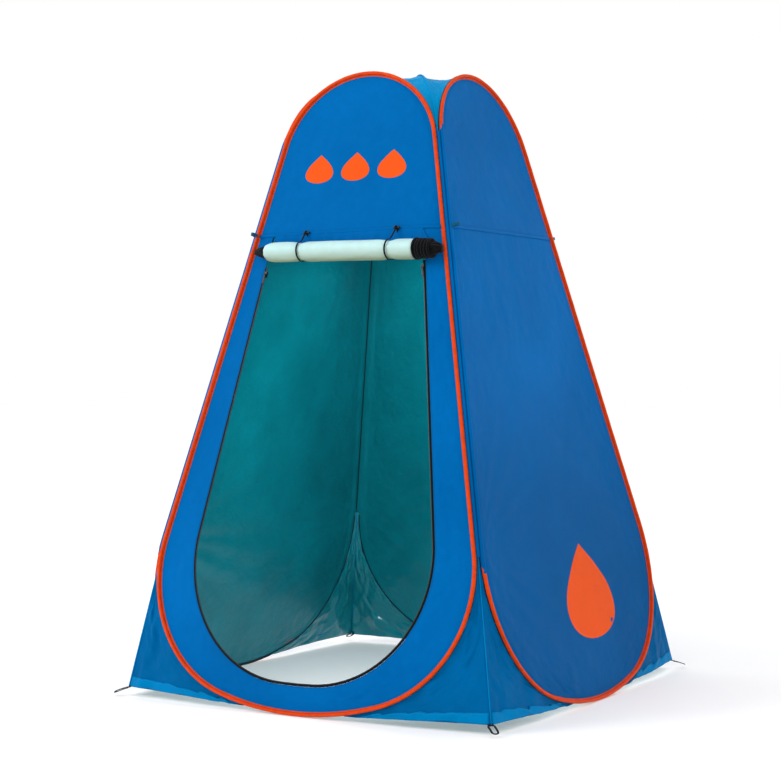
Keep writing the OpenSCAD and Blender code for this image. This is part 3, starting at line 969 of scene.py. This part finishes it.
def petal(k):
    """A quarter of the roof, from one wall's arch to the roof's middle."""
    rows, cols = 97, 25
    qs = np.linspace(-1, 1, rows)
    ss = np.linspace(0, 1, cols)
    points = np.zeros((rows, cols, 3))
    for i, q in enumerate(qs):
        rim = arch_point(math.pi / 2 - (math.pi / 2 - CORNER_A) * abs(q))
        edge = petal_edge(abs(q))
        if q < 0:
            rim, edge = rim * [-1, 1, 1], edge * [-1, 1, 1]
        points[i] = rim + ss[:, None] * (edge - rim)
    area = grid_area(points)
    held = np.clip(ss / 0.15, 0, 1)[None] * np.clip((1.0 - ss) / 0.2, 0, 1)[None]
    ends = np.clip((1 - np.abs(qs)) / 0.25, 0, 1)[:, None]
    waves = 0.003 * smooth_noise((rows, cols), (10, 7), 120 + k)
    for a in np.random.default_rng(130 + k).uniform(-0.8, 0.8, 7):
        waves = waves + 0.0022 * np.exp(-((qs[:, None] - a - 0.15 * (ss[None] - 0.5)) / 0.03) ** 2)
    points[..., 2] += (waves - 0.004) * held * ends
    uv = np.stack(np.meshgrid(qs * 0.4, ss * 0.3, indexing="ij"), -1).reshape(-1, 2)
    points = turn_to(k, points)
    obj = new_object(WALLS[k] + "_roof_cloth", points.reshape(-1, 3), grid_faces(rows, cols, flip=True),
                     ["roof", "inside"], uv)
    pins = np.clip(np.maximum(1 - ss[None] / 0.08, 1 - (1 - ss[None]) / 0.06) + 0 * ends, 0, 1)
    pins = np.maximum(pins, np.clip(1 - ends * 3, 0, 1))
    to_drape(obj, pins.ravel(), 0.006, 0.008)
    return obj, max(0.068, area)


# ---------------------------------------------------------------- every cloth, draped and finished

uppers = []
lowers = []
for k, wall in enumerate(WALLS):
    wall_cloth = "front" if k == 0 else "side"
    uppers.append(panel(k, wall + "_upper_cloth", SEAM_V, TOP_V - 0.001, wall_cloth, 0.8))
    if k:
        lowers.append(panel(k, wall + "_lower_cloth", FOOT_V + 0.001, SEAM_V, wall_cloth, 1 + 0.5 * (k > 1)))
    else:
        lowers.append(door_surround())
gussets = [(k, *gusset(k, left)) for k in range(4) for left in (True, False)]
petals = [petal(k) for k in range(4)]
drape_all()


def fold_flat(obj, k):
    """A loose piece rides its wall."""
    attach(obj, WALLS[k] + "_wall")
    anchor = wall_point(k, 0, 0.5, RIM_W)
    tuple(wall_normal(k))
    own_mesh(obj)


def finish_wall(k, obj, node):
    thicken(obj, levels=1)
    dress(obj, WALLS[k] + "_wall", node)


WIDE = 2 * float(half_width(np.linspace(0, 1, 200)).max())
for k, wall in enumerate(WALLS):
    node = "front_header" if k == 0 else wall + "_upper_panel"
    flat = (2 * float(half_width(SEAM_V)), TOP_V - SEAM_V)
    finish_wall(k, uppers[k], node)
    node = "door_surround" if k == 0 else wall + "_lower_panel"
    flat = (WIDE, SEAM_V - FOOT_V)
    area = flat_area(FOOT_V + 0.001, SEAM_V)
    if k == 0:
        edge = door_half_line(0.01)
        area -= float((edge[1:, 0] + edge[:-1, 0]) @ np.diff(edge[:, 1]))
    finish_wall(k, lowers[k], node)

for k, obj, name, flat, area in gussets:
    thicken(obj, levels=1)
    fold_flat(obj, k)
    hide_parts(name)

for k, (obj, area) in enumerate(petals):
    thicken(obj, levels=1)
    fold_flat(obj, k)
    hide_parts(WALLS[k] + "_roof_petal")

# ---------------------------------------------------------------- laying things on the cloth


def tree_of(*objects):
    """A search tree of meshes, in the tent's frame."""
    points = []
    faces = []
    for obj in objects:
        start = len(points)
        points.extend(v.co.copy() for v in obj.data.vertices)
        faces.extend(tuple(i + start for i in f.vertices) for f in obj.data.polygons)
    return BVHTree.FromPolygons(points, faces)


TREES = [tree_of(uppers[k], lowers[k]) for k in range(4)]


def on_cloth(k, u, v, lift=0.0):
    """The points of wall k's outer face at u and v, lifted off it a little."""
    up = Vector(wall_normal(k))
    out = []
    for a, b in zip(np.ravel(u), np.ravel(v)):
        start = Vector(wall_point(k, a, b, 0.05))
        hit = TREES[k].ray_cast(start, -up, 0.08)[0]
        if hit is None:
            hit = Vector(wall_point(k, a, b, float(cloth_depth(a, b))))
        out.append(hit + up * lift)
    return np.array(out).reshape(np.shape(u) + (3,))


def ribbon(name, k, u, v, width, raise_by, material):
    """A flat tape laid on wall k's cloth along a line, as vertices and faces of one object."""
    line = np.stack([u, v], -1)
    along = np.gradient(line, axis=0)
    along /= np.linalg.norm(along, axis=1)[:, None]
    side = np.stack([along[:, 1], -along[:, 0]], -1)
    across = np.linspace(-width / 2, width / 2, 5)
    flat = line[:, None] + side[:, None] * across[None, :, None]
    lift = raise_by * np.array([0.15, 1, 0.8, 1, 0.15])
    points = on_cloth(k, flat[..., 0], flat[..., 1])
    points = points + lift[None, :, None] * wall_normal(k)
    uv = np.stack(np.meshgrid(np.arange(len(line)) * 0.01, across, indexing="ij"), -1).reshape(-1, 2)
    faces = grid_faces(len(line), 5, flip=True)
    obj = new_object(name, points.reshape(-1, 3), faces, [material], uv)
    thicken(obj, 0.0012, -1)
    return obj


def sew(name, body, slot, lines, thread, **size):
    """One object for all of a piece's stitches, which rides with it."""
    vertices, faces = stitches(lines, **size)
    obj = new_object(name, vertices, faces, [thread])
    dress(obj, body)
    return obj


# ---------------------------------------------------------------- cross seams and corner bindings


def cross_seam(k):
    """The felled seam across a wall where its upper and lower cloths are joined."""
    reach = float(half_width(SEAM_V)) - 0.016
    u = np.linspace(-reach, reach, 81)
    v = np.full_like(u, SEAM_V)
    wall_cloth = "front" if k == 0 else "side"
    obj = ribbon(WALLS[k] + "_cross_seam", k, u, v, 0.011, 0.0010, wall_cloth)
    dress(obj, WALLS[k] + "_wall")
    rows = [(on_cloth(k, u, v + d, 0.0012), wall_normal(k)) for d in (-0.0034, 0.0034)]
    sew(WALLS[k] + "_cross_stitches", WALLS[k] + "_wall", wall_cloth + "_cloth", rows, "blue_thread")


def hoop_binding(k):
    """The bound edges inside the tent where the roof and the gussets are sewn to the wall."""
    line, outs = hoop_line(0.012)
    for where, turn in (("foot", len(line) // 2), ("arch", 0)):
        u, v = np.roll(line, turn, 0).T
        out_u, out_v = np.roll(outs, turn, 0).T
        part = v < CORNER_V if where == "foot" else v > ARCH_V
        path = wall_point(k, u[part], v[part], -0.0005)
        normal = wall_way(k, out_u[part], out_v[part])
        obj = add_swept(f"{WALLS[k]}_{where}_binding", "binding",
                        swept(path, normal, ellipse(0.0046, 0.0006, 8, 0.7), 0.012))
        dress(obj, WALLS[k] + "_wall")


def corner_binding(k):
    """The bound seam inside a corner, on the edge of wall k where it meets its neighbour."""
    v = np.linspace(CORNER_V + 0.01, ARCH_V - 0.01, 90)
    u = -(half_width(v) - 0.0035)
    path = wall_point(k, u, v, -0.0007)
    section = ellipse(0.0028, 0.0006, 10, 0.7)
    normal = wall_way(k, 1, 0)
    obj = add_swept(WALLS[k] + "_corner_binding", "binding", swept(path, normal, section, 0.01))
    dress(obj, WALLS[k] + "_wall")


def corner_tape(k):
    """The tape down the outside of a corner, between its two sleeves, over the meeting cloths."""
    v = np.linspace(CORNER_V - 0.012, ARCH_V + 0.012, 90)
    away = corner_way(k)
    path = wall_point(k, CORNER_M * v - BASE, v, 0) + away * 0.0021
    section = ellipse(0.0005, 0.0042, 10, 0.7)
    vertices, faces = tube_mesh(sweep(path, away, section), False)
    inner = [1 if 3 <= j <= 6 else 0 for j in range(10)] * (len(path) - 1) + [0, 0]
    obj = new_object(WALLS[k] + "_corner_tape", vertices, faces, ["side", "binding"],
                     tube_uv(path, 10, 0.01), index=inner)
    dress(obj, WALLS[k] + "_wall")


for k in range(4):
    cross_seam(k)
    hoop_binding(k)
    corner_binding(k)
    corner_tape(k)

# ---------------------------------------------------------------- piping


def piping(k):
    """The orange sleeve all the way round a hoop, with its sewn lip and stitches."""
    line, outs = hoop_line(0.010)
    path = wall_point(k, line[:, 0], line[:, 1], np.full(len(line), SLEEVE_D / 2 + 0.0003))
    normal = wall_way(k, outs[:, 0], outs[:, 1])
    steps = np.arange(len(line))
    section = np.repeat(ellipse(SLEEVE_W / 2, SLEEVE_D / 2, 14, 0.62)[None], len(line), 0)
    puff = 1 + 0.04 * np.sin(steps * 0.9 + k) * np.sin(steps * 0.23)
    section = section * puff[:, None, None]
    section[..., 1] = np.clip(section[..., 1], -SLEEVE_D / 2, SLEEVE_D / 2 + 0.0003 - SLEEVE_LIFT)
    lip_w = 0.006
    lip_line = line - outs * (SLEEVE_W / 2 + lip_w / 2 - 0.001)
    lip = on_cloth(k, lip_line[:, 0], lip_line[:, 1], 0.0006)
    obj = add_swept(WALLS[k] + "_piping", "piping", swept(path, normal, section, 0.035, True),
                    swept(lip, normal, ellipse(lip_w / 2, 0.0006, 8, 0.5), 0.016, True))
    dress(obj, WALLS[k] + "_wall", WALLS[k] + "_sleeve")
    closed = np.vstack([lip, lip[:1]]) + wall_normal(k) * 0.0007
    sew(WALLS[k] + "_piping_stitches", WALLS[k] + "_wall", "piping",
        [(closed, wall_normal(k))], "piping_thread")


def sleeve_join():
    """The short wrap over the overlap of the front sleeve's ends."""
    centre_v = 1.374
    v = np.linspace(centre_v - 0.018, centre_v + 0.018, 13)
    u = -(HOOP_HALF - CORNER_M * v)
    path = wall_point(0, u, v, SLEEVE_D / 2 + 0.0006)
    normal = wall_way(0, -1, 0)
    swell = 1.12 + 0.05 * np.cos(np.linspace(-math.pi, math.pi, 13))
    section = ellipse(SLEEVE_W / 2, SLEEVE_D / 2, 16, 0.62)[None] * swell[:, None, None]
    section[..., 1] = np.clip(section[..., 1], -SLEEVE_D / 2 + 0.0006, SLEEVE_D)
    obj = add_swept("sleeve_join_wrap", "piping", swept(path, normal, section, 0.035))
    dress(obj, "front_wall", "sleeve_join")


def corner_cover(k, side):
    """The wall's own cloth, wrapped over its sleeve along a corner whose other sleeve shows."""
    low = CORNER_V - 0.06
    high = ARCH_V + 0.03
    v = np.linspace(low, high, 110)
    u = side * np.interp(v, HALF_P[:, 1], HALF_P[:, 0])
    path = wall_point(k, u, v, SLEEVE_D / 2 + SLEEVE_LIFT)
    normal = wall_way(k, side, 0)
    ends = np.clip(np.minimum(v - low, high - v) / 0.02, 0.86, 1)
    slack = 1.16 * ends + 0.03 * smooth_noise((110, 2), (5, 2), 200 + k)[:, 0]
    section = ellipse(SLEEVE_W / 2, SLEEVE_D / 2, 14, 0.62)[None] * slack[:, None, None]
    section[..., 1] = np.clip(section[..., 1], -SLEEVE_D / 2 - 0.0002, SLEEVE_D / 2 + 0.0002)
    name = f"{WALLS[k]}_cover_{'right' if side > 0 else 'left'}"
    obj = add_swept(name, "side", swept(path, normal, section, 0.035))
    dress(obj, WALLS[k] + "_wall")


for k in range(4):
    piping(k)
for k, side in ((1, -1), (2, -1), (3, -1), (3, 1)):
    corner_cover(k, side)
sleeve_join()

# ---------------------------------------------------------------- hems and corner seams


def hem(k):
    """The folded hem bands along the ground edge of a wall's two gussets, with their stitches."""
    rows, cols = 7, 60
    t = np.linspace(0.93, 1.0, rows)
    s = np.linspace(0.08, 0.995, cols)
    vertices = []
    faces = []
    lines = []
    for left in (True, False):
        tree = tree_of(gussets[2 * k + (not left)][1])
        points = np.array([[gusset_point(a, b) for b in s] for a in t])
        points = turn_to(k, points, left)
        out = surface_normals(points) * (1 if left else -1)
        wave = 0.0010 * smooth_noise((rows, cols), (7, 5), 90 + 2 * k + left)
        bulge = 0.0006 + 0.0010 * np.sin(np.linspace(0, math.pi, rows))[:, None] + wave
        for i in range(rows):
            for j in range(cols):
                near = tree.find_nearest(Vector(points[i, j] + out[i, j] * 0.02))[0]
                points[i, j] = np.array(near) + out[i, j] * bulge[i, j]
        points[..., 2] = np.maximum(points[..., 2], 0.0015)
        start = sum(len(p) for p in vertices)
        vertices.append(points.reshape(-1, 3))
        faces.append(grid_faces(rows, cols, flip=not left) + start)
        lines.append((points[1] + out[1] * 0.0014, out[1]))
    grid = np.meshgrid(np.linspace(0, 0.03, rows), np.linspace(0, 0.5, cols), indexing="ij")
    uv = np.tile(np.stack(grid, -1).reshape(-1, 2), (2, 1))
    obj = new_object(WALLS[k] + "_hem_bands", np.vstack(vertices), np.vstack(faces), ["hem"], uv)
    thicken(obj, thickness=0.0022, offset=0)
    fold_flat(obj, k)
    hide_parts(WALLS[k] + "_hems")
    vertices, faces = stitches(lines)
    thread = new_object(WALLS[k] + "_hem_stitches", vertices, faces, ["blue_thread"])
    fold_flat(thread, k)


def corner_seam(k):
    """The bound seam down a bottom corner, from where the hoops part to the peg loop."""
    t = np.linspace(0, 1, 40)
    path = turn_to(k, np.array([gusset_point(a, 1.0) for a in t]), True)
    away = corner_way(k)
    path = path + away * 0.0012
    section = ellipse(0.0022, 0.0016, 10)
    obj = add_swept(WALLS[k] + "_corner_seam", "hem", swept(path, away, section, 0.012))
    fold_flat(obj, k)


def roof_seam(k):
    """The seam between two quarters of the roof, on wall k's left."""
    q = np.linspace(0, 1, 50)
    path = np.array([petal_edge(a) for a in q])
    path = turn_to(k, path, True)
    path[:, 2] += 0.0012
    up = np.array([0.0, 0.0, 1.0])
    section = ellipse(0.0013, 0.0026, 10)
    obj = add_swept(WALLS[k] + "_roof_seam", "roof", swept(path, up, section, 0.012))
    fold_flat(obj, k)


for k in range(4):
    hem(k)
    corner_seam(k)
    roof_seam(k)

# ---------------------------------------------------------------- corner webbing


def strap_loop(length, width, band, n=14):
    """The middle line of a loop with square roots and a round end, in (along, across)."""
    half = (width - band) / 2
    turn = length - width / 2
    arc = [on_arc(np.array([turn, 0]), half, a) for a in np.linspace(-math.pi / 2, math.pi / 2, n)]
    return np.vstack([[[0.0005, -half]], resample([[0.0005, -half], [turn, -half]], 0.004)[1:-1],
                      arc, resample([[turn, half], [0.0005, half]], 0.004)[1:-1], [[0.0005, half]]])


def peg_loop(k):
    """Webbing loop that droops from a peg corner to the ground."""
    line = strap_loop(0.046, 0.022, 0.004)
    droop = math.radians(16)
    out = corner_way(k)
    across = np.array([-out[1], out[0], 0])
    down = np.array([0, 0, -1.0])
    along = out * math.cos(droop) + down * math.sin(droop)
    root = turn_to(k, np.array([[-PEG_HALF - 0.0015, -PEG_HALF - 0.0015, PEG_Z - 0.004]]))[0]
    lift = np.cross(along, across)
    lift *= np.sign(lift[2])
    root = root + lift * 0.0012
    path = root + line[:, :1] * along + line[:, 1:] * across
    path = path + lift * (0.0008 * np.sin(np.linspace(0, 9, len(line))))[:, None]
    tail = root - along * np.linspace(0.018, 0.0, 6)[:, None] + lift * 0.0006
    obj = add_swept(WALLS[k] + "_peg_webbing", "navy_webbing" if k == 2 else "webbing",
                    swept(path, lift, ellipse(0.0012, 0.0030, 10, 0.6), 0.01),
                    swept(tail, lift, ellipse(0.0011, 0.0095, 12, 0.5), 0.02))
    fold_flat(obj, k)
    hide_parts(WALLS[k] + "_peg_loop")


def guy_tab(k):
    """Loop of narrow tape that stands out of the piping at the cross seam's height."""
    line = strap_loop(0.026, 0.012, 0.0018)
    centre_u = -(HOOP_HALF - CORNER_M * SEAM_V)
    w = SLEEVE_D + 0.0003 + line[:, 0]
    path = wall_point(k, centre_u - line[:, 1], np.full(len(line), SEAM_V), w)
    normal = wall_way(k, 0, 1)
    section = ellipse(0.0045, 0.0009, 12, 0.4)
    obj = add_swept(WALLS[k] + "_guy_loop", "tab", swept(path, normal, section, 0.02))
    dress(obj, WALLS[k] + "_wall", WALLS[k] + "_guy_tab")


for k in range(4):
    peg_loop(k)
    guy_tab(k)

# ---------------------------------------------------------------- the doorway's zip

TAPE_W = 0.008
TOOTH_PITCH = 0.0024


def zip_edge():
    """The zip tape along the doorway's edge, its teeth and the stitches beside it."""
    top = ZIP_TOP
    line = door_line(0.012, -0.0003 - TAPE_W / 2, top)
    along = np.gradient(line, axis=0)
    along /= np.linalg.norm(along, axis=1)[:, None]
    outward = np.stack([along[:, 1], -along[:, 0]], -1)
    depth = CLOTH_W + 0.0003
    path = wall_point(0, line[:, 0], line[:, 1], depth)
    normal = wall_way(0, outward[:, 0], outward[:, 1])
    section = ellipse(TAPE_W / 2, 0.0006, 10, 0.4)
    tape = add_swept("zip_tape_edge", "zip", swept(path, normal, section, 0.02))
    dress(tape, "front_wall", "zip_tape")
    row = resample(door_line(0.012, -0.0003 - TAPE_W + 0.0010, top), TOOTH_PITCH)
    along = np.gradient(row, axis=0)
    along /= np.linalg.norm(along, axis=1)[:, None]
    side = np.stack([along[:, 1], -along[:, 0]], -1)
    tooth = np.array([(a, b, c) for a in (-1, 1) for b in (-1, 1) for c in (-1, 1)], float)
    tooth = tooth * [0.0007, 0.0013, 0.0011]
    corners = row[:, None] + along[:, None] * tooth[None, :, :1] + side[:, None] * tooth[None, :, 1:2]
    heights = depth + 0.0002 + tooth[None, :, 2] + 0 * corners[..., 0]
    points = wall_point(0, corners[..., 0], corners[..., 1], heights).reshape(-1, 3)
    box_faces = np.array([(0, 1, 3, 2), (4, 6, 7, 5), (0, 4, 5, 1),
                          (2, 3, 7, 6), (0, 2, 6, 4), (1, 5, 7, 3)])
    faces = (box_faces[None] + 8 * np.arange(len(row))[:, None, None]).reshape(-1, 4)
    teeth = new_object("zip_teeth_row", points, faces, ["teeth"], smooth=False)
    dress(teeth, "front_wall")
    beside = door_line(0.012, 0.0040, top)
    sewn = on_cloth(0, beside[:, 0], beside[:, 1], 0.0002)
    sew("zip_stitches", "front_wall", "front_cloth", [(sewn, wall_normal(0))], "dark_thread")


zip_edge()

# ---------------------------------------------------------------- the rolled-up door

ROLL_END = 0.320
ROLL_PITCH = 0.0026
ROLL_CORE = 0.004


def roll_point(u, a, r):
    """A point round the roll: along its axis, at an angle from straight outwards, at a radius."""
    out = r * np.cos(a)
    w = ROLL_W + u * math.sin(ROLL_LEAN) + out * math.cos(ROLL_LEAN)
    return u * math.cos(ROLL_LEAN) - out * math.sin(ROLL_LEAN), ROLL_V - 0.03 * u + r * np.sin(a), w


def roll_out(a):
    """The direction away from the roll's axis at an angle."""
    return wall_way(0, 0, np.sin(a), np.cos(a))


def bell(u, centre, width):
    return np.exp(-((u - centre) / width) ** 2)


def roll_scale(u, phi):
    """How the roll's radius changes: pinched at the ties, tapered at the ends, a little uneven."""
    scale = 1 - 0.16 * bell(u, TIE_U[0], 0.018) - 0.16 * bell(u, TIE_U[1], 0.018)
    left = np.clip((u - ROLL_LEFT) / 0.045, 0, 1)
    scale = scale * (0.62 + 0.38 * np.sqrt(left * (2 - left)))
    right = np.clip((u - ROLL_RIGHT + 0.01) / 0.02, 0, 1)
    scale = scale * (1 - 0.26 * right)
    folds = 0.020 * np.sin(3 * phi + 21 * u) * np.sin(17 * u + 1.3)
    folds = folds + 0.016 * np.sin(5 * phi - 34 * u + 2)
    near_tie = bell(u, TIE_U[0], 0.045) + bell(u, TIE_U[1], 0.045) + 0.9 * (1 - left)
    folds = folds + 0.032 * (np.sin(9 * phi + 40 * u) + 0.6 * np.sin(7 * phi - 25 * u)) * near_tie
    return scale * (0.985 + folds * 0.9)


def door_roll():
    """The door: from the cross seam down behind the roll, under it and round into its middle."""
    phi = math.pi
    radius = ROLL_R - 0.001
    spiral = []
    while radius > ROLL_CORE:
        spiral.append((phi, radius))
        step = 0.0055 / radius
        phi += step
        radius -= ROLL_PITCH * step / (2 * math.pi)
    spiral = np.array(spiral)
    u = np.linspace(ROLL_LEFT, ROLL_END, 112)
    uu, phis = np.meshgrid(u, spiral[:, 0])
    radii = spiral[:, 1][:, None] * roll_scale(uu, phis)
    along = uu
    uu, v, w = roll_point(uu, phis, radii)
    hang = np.linspace(0, 1, 9)[:-1][:, None]
    top_w = CLOTH_W + 0.0012
    hang_w = top_w + (w[:1] - top_w) * hang ** 1.5
    hang_v = SEAM_V - 0.002 + (v[:1] - SEAM_V + 0.002) * hang
    hang_w = hang_w + 0.0014 * np.sin(along[:1] * 150) * np.sin(math.pi * hang)
    hang_u = uu[:1] + (np.clip(uu[:1], -0.262, 0.262) - uu[:1]) * (1 - hang)
    uu = np.vstack([hang_u, uu])
    w = np.vstack([hang_w, w])
    v = np.vstack([hang_v, v])
    at = np.concatenate([np.linspace(0, SEAM_V - ROLL_V, 9)[:-1],
                         SEAM_V - ROLL_V + 0.0055 * np.arange(len(spiral))])
    uv = np.stack(np.broadcast_arrays(u[None], at[:, None]), -1).reshape(-1, 2)
    points = wall_point(0, uu, v, w).reshape(-1, 3)
    obj = new_object("rolled_door", points, grid_faces(len(at), len(u)), ["door", "door_back"], uv)
    thicken(obj, 0.0007, -1)
    dress(obj, "front_wall", "door_roll")


def zip_ridges():
    """The turns of the door's own zip tape, side by side at the right end of the roll."""
    parts = []
    r = np.random.default_rng(5)
    phi = np.linspace(0, 2 * math.pi, 56, endpoint=False)
    for i in range(6):
        centre = ROLL_RIGHT + 0.0045 + 0.0098 * i
        radius = (0.0285 - 0.0006 * i) * (1 + 0.02 * np.sin(2 * phi + r.uniform(0, 6)))
        shift = r.uniform(-0.0016, 0.0016) * np.cos(phi + r.uniform(0, 6))
        path = wall_point(0, *roll_point(centre + shift, phi, radius))
        fine = 1 + 0.10 * (np.arange(56) % 2)
        section = ellipse(0.0036, 0.0043, 10)[None] * fine[:, None, None]
        parts.append(swept(path, roll_out(phi), section, 0.02, True))
    return parts


def zip_bunch(at, radii, smooth):
    """A crumpled end of the roll: places along it, radii there, and how far it is smooth."""
    u = np.linspace(at[0], at[-1], 30)
    core = np.interp(np.abs(u - at[0]), np.abs(at - at[0]), radii)
    uu, pp = np.meshgrid(u, np.linspace(0, 2 * math.pi, 40, endpoint=False), indexing="ij")
    beyond = np.clip((np.abs(uu - at[0]) - smooth) / 0.01, 0, 1)
    lumps = 1 + beyond * (0.10 * np.sin(5 * pp + 60 * uu) + 0.07 * np.sin(9 * pp - 110 * uu))
    rings = wall_point(0, *roll_point(uu, pp, core[:, None] * lumps))
    vertices, faces = tube_mesh(rings if at[-1] > at[0] else rings[::-1], False)
    return vertices, faces, np.stack([uu, pp * 0.02], -1).reshape(-1, 2)


def zip_turns():
    """The door's zip, rolled up with it, and the bunches at both ends of the roll."""
    right = ROLL_RIGHT + np.array([0, 0.052, 0.060, 0.078, 0.0885])
    left = ROLL_LEFT - np.array([-0.006, 0.006, 0.020, 0.036, 0.044])
    obj = add_swept("rolled_zip", "zip", *zip_ridges(),
                    zip_bunch(right, [0.0255, 0.0245, 0.0195, 0.0165, 0.011], 0.05),
                    zip_bunch(left, [0.0160, 0.0175, 0.0150, 0.0110, 0.006], -0.01))
    dress(obj, "front_wall", "roll_zip_turns")


def door_tie(name, u0, seed):
    """A cord from the cross seam down behind the roll, round it, and up to its toggle."""
    pinch = float(roll_scale(np.array(u0), np.array(0.0)))
    radius = ROLL_R * pinch + 0.0022
    phi = np.linspace(math.pi, 2.5 * math.pi - 0.25, 48)
    _, v, w = roll_point(u0, phi, radius)
    down = np.linspace(0, 1, 8)[:-1]
    back_w = CLOTH_W + 0.0026
    w = np.concatenate([back_w + (w[0] - back_w) * down, w])
    v = np.concatenate([SEAM_V + 0.006 + (v[0] - SEAM_V - 0.006) * down, v])
    toggle_w = CLOTH_W + 0.0075
    rise = np.linspace(0, 1, 10)[1:]
    w = np.concatenate([w, w[-1] + (toggle_w + 0.0045 - w[-1]) * rise ** 0.8])
    v = np.concatenate([v, v[-1] + (SEAM_V - v[-1]) * rise])
    u = u0 + 0.0015 * np.sin(np.linspace(0, 5, len(v)) + seed)
    path = wall_point(0, u, v, w)
    out = np.gradient(np.stack([w, v], -1), axis=0)
    normal = wall_way(0, 0, out[:, 0], -out[:, 1])
    ring = np.linspace(0, 2 * math.pi, 24, endpoint=False)
    hook = wall_point(0, u0 + 0.0006 * np.sin(2 * ring), SEAM_V + 0.0052 * np.sin(ring),
                      toggle_w + 0.0047 + 0.0052 * np.cos(ring) - 0.0015)
    obj = add_swept(name + "_cord", "cord",
                    swept(path, normal, ellipse(0.0012, 0.0028, 10, 0.8), 0.012),
                    swept(hook, roll_out(ring), ellipse(0.0011, 0.0022, 8), 0.01, True))
    dress(obj, "front_wall", name)


door_roll()
zip_turns()
door_tie("door_tie_left", TIE_U[0], 0.0)
door_tie("door_tie_right", TIE_U[1], 2.0)

# ---------------------------------------------------------------- printed marks


def drop_points(size, rings=9, n=40):
    """A plain water drop, point upwards, as rings of (across, up) points round its middle."""
    a = np.linspace(0, 2 * math.pi, n, endpoint=False)
    x = 0.74 * np.sin(a) * np.sin(a / 2) ** 1.1
    y = 0.5 * np.cos(a)
    outline = np.stack([x, y], -1) * size
    return np.array([outline * q for q in np.linspace(0, 1, rings)[1:]])


def printed_drop(name, k, u0, v0, size):
    """An orange water drop printed on wall k's cloth."""
    rings = drop_points(size)
    count, n = rings.shape[:2]
    u = np.concatenate([[u0], (u0 + rings[..., 0]).ravel()])
    v = np.concatenate([[v0], (v0 + rings[..., 1]).ravel()])
    points = on_cloth(k, u, v, 0.0003)
    faces = [(0, 1 + j, 1 + (j + 1) % n) for j in range(n)]
    for i in range(count - 1):
        for j in range(n):
            a, b = 1 + i * n + j, 1 + i * n + (j + 1) % n
            faces.append((a, a + n, b + n, b))
    obj = new_object(name, points, faces, ["print"], np.stack([u, v], -1))
    dress(obj, WALLS[k] + "_wall")


printed_drop("side_print", 1, 0.080, 0.322, 0.29)
for i in range(3):
    printed_drop(f"front_print_{i + 1}", 0, 0.13 * (i - 1), 1.645, 0.09)

# ---------------------------------------------------------------- the frame's own hard parts

CARRIED = {"toggle_left": "toggle", "toggle_right": "toggle"}
for side in ("left", "right"):
    CARRIED[f"slider_{side}"] = "enamel"
    CARRIED[f"pull_{side}"] = "enamel"
for wall in WALLS:
    CARRIED[wall + "_hoop"] = "steel"
    CARRIED[wall + "_ferrule"] = "crimp"
for node, material in CARRIED.items():
    mesh = frame["nodes"][node].data
    mesh.materials.clear()
    mesh.materials.append(MATERIAL[material])

# ---------------------------------------------------------------- floor and light


def make_stage():
    n = Nodes("pale_floor")
    tone = n.ramp(n.noise(1.5, 3), [(0.3, (0.93, 0.93, 0.93, 1)), (0.7, (0.96, 0.96, 0.96, 1))])
    n.set(Base_Color=tone, Roughness=0.8, Specular_IOR_Level=0.1)
    n.set(Emission_Color=(1, 1, 1, 1), Emission_Strength=0.12)
    MATERIAL["floor"] = n.material
    size = 40
    corners = [(-size, -size, 0), (size, -size, 0), (size, size, 0), (-size, size, 0)]
    floor = new_object("floor", corners, [(0, 1, 2, 3)], ["floor"])


def area_light(name, place, aim, size, power):
    data = bpy.data.lights.new(name, "AREA")
    data.shape = "DISK"
    data.size = size
    data.energy = power
    light = bpy.data.objects.new(name, data)
    bpy.context.scene.collection.objects.link(light)
    light.location = place
    light.visible_camera = False
    light.rotation_euler = (Vector(aim) - Vector(place)).to_track_quat("-Z", "Y").to_euler()


make_stage()
area_light("key", (-3.4, -4.6, 3.6), (0, 0, 0.9), 2.6, 120)
area_light("fill", (5.2, -3.2, 2.6), (0, 0, 0.9), 4.0, 25)
area_light("inside_low", (0.26, -0.40, 0.72), (-0.45, 0.50, 0.40), 0.22, 3.2)
area_light("inside_top", (0, 0, 1.40), (0.05, 0.1, 0), 0.4, 3)
world = bpy.data.worlds.new("studio")
world.use_nodes = True
world.node_tree.nodes["Background"].inputs["Color"].default_value = (1, 1, 1, 1)
world.node_tree.nodes["Background"].inputs["Strength"].default_value = 1.0
bpy.context.scene.world = world
bpy.context.scene.view_settings.view_transform = "Standard"

bpy.context.view_layer.update()
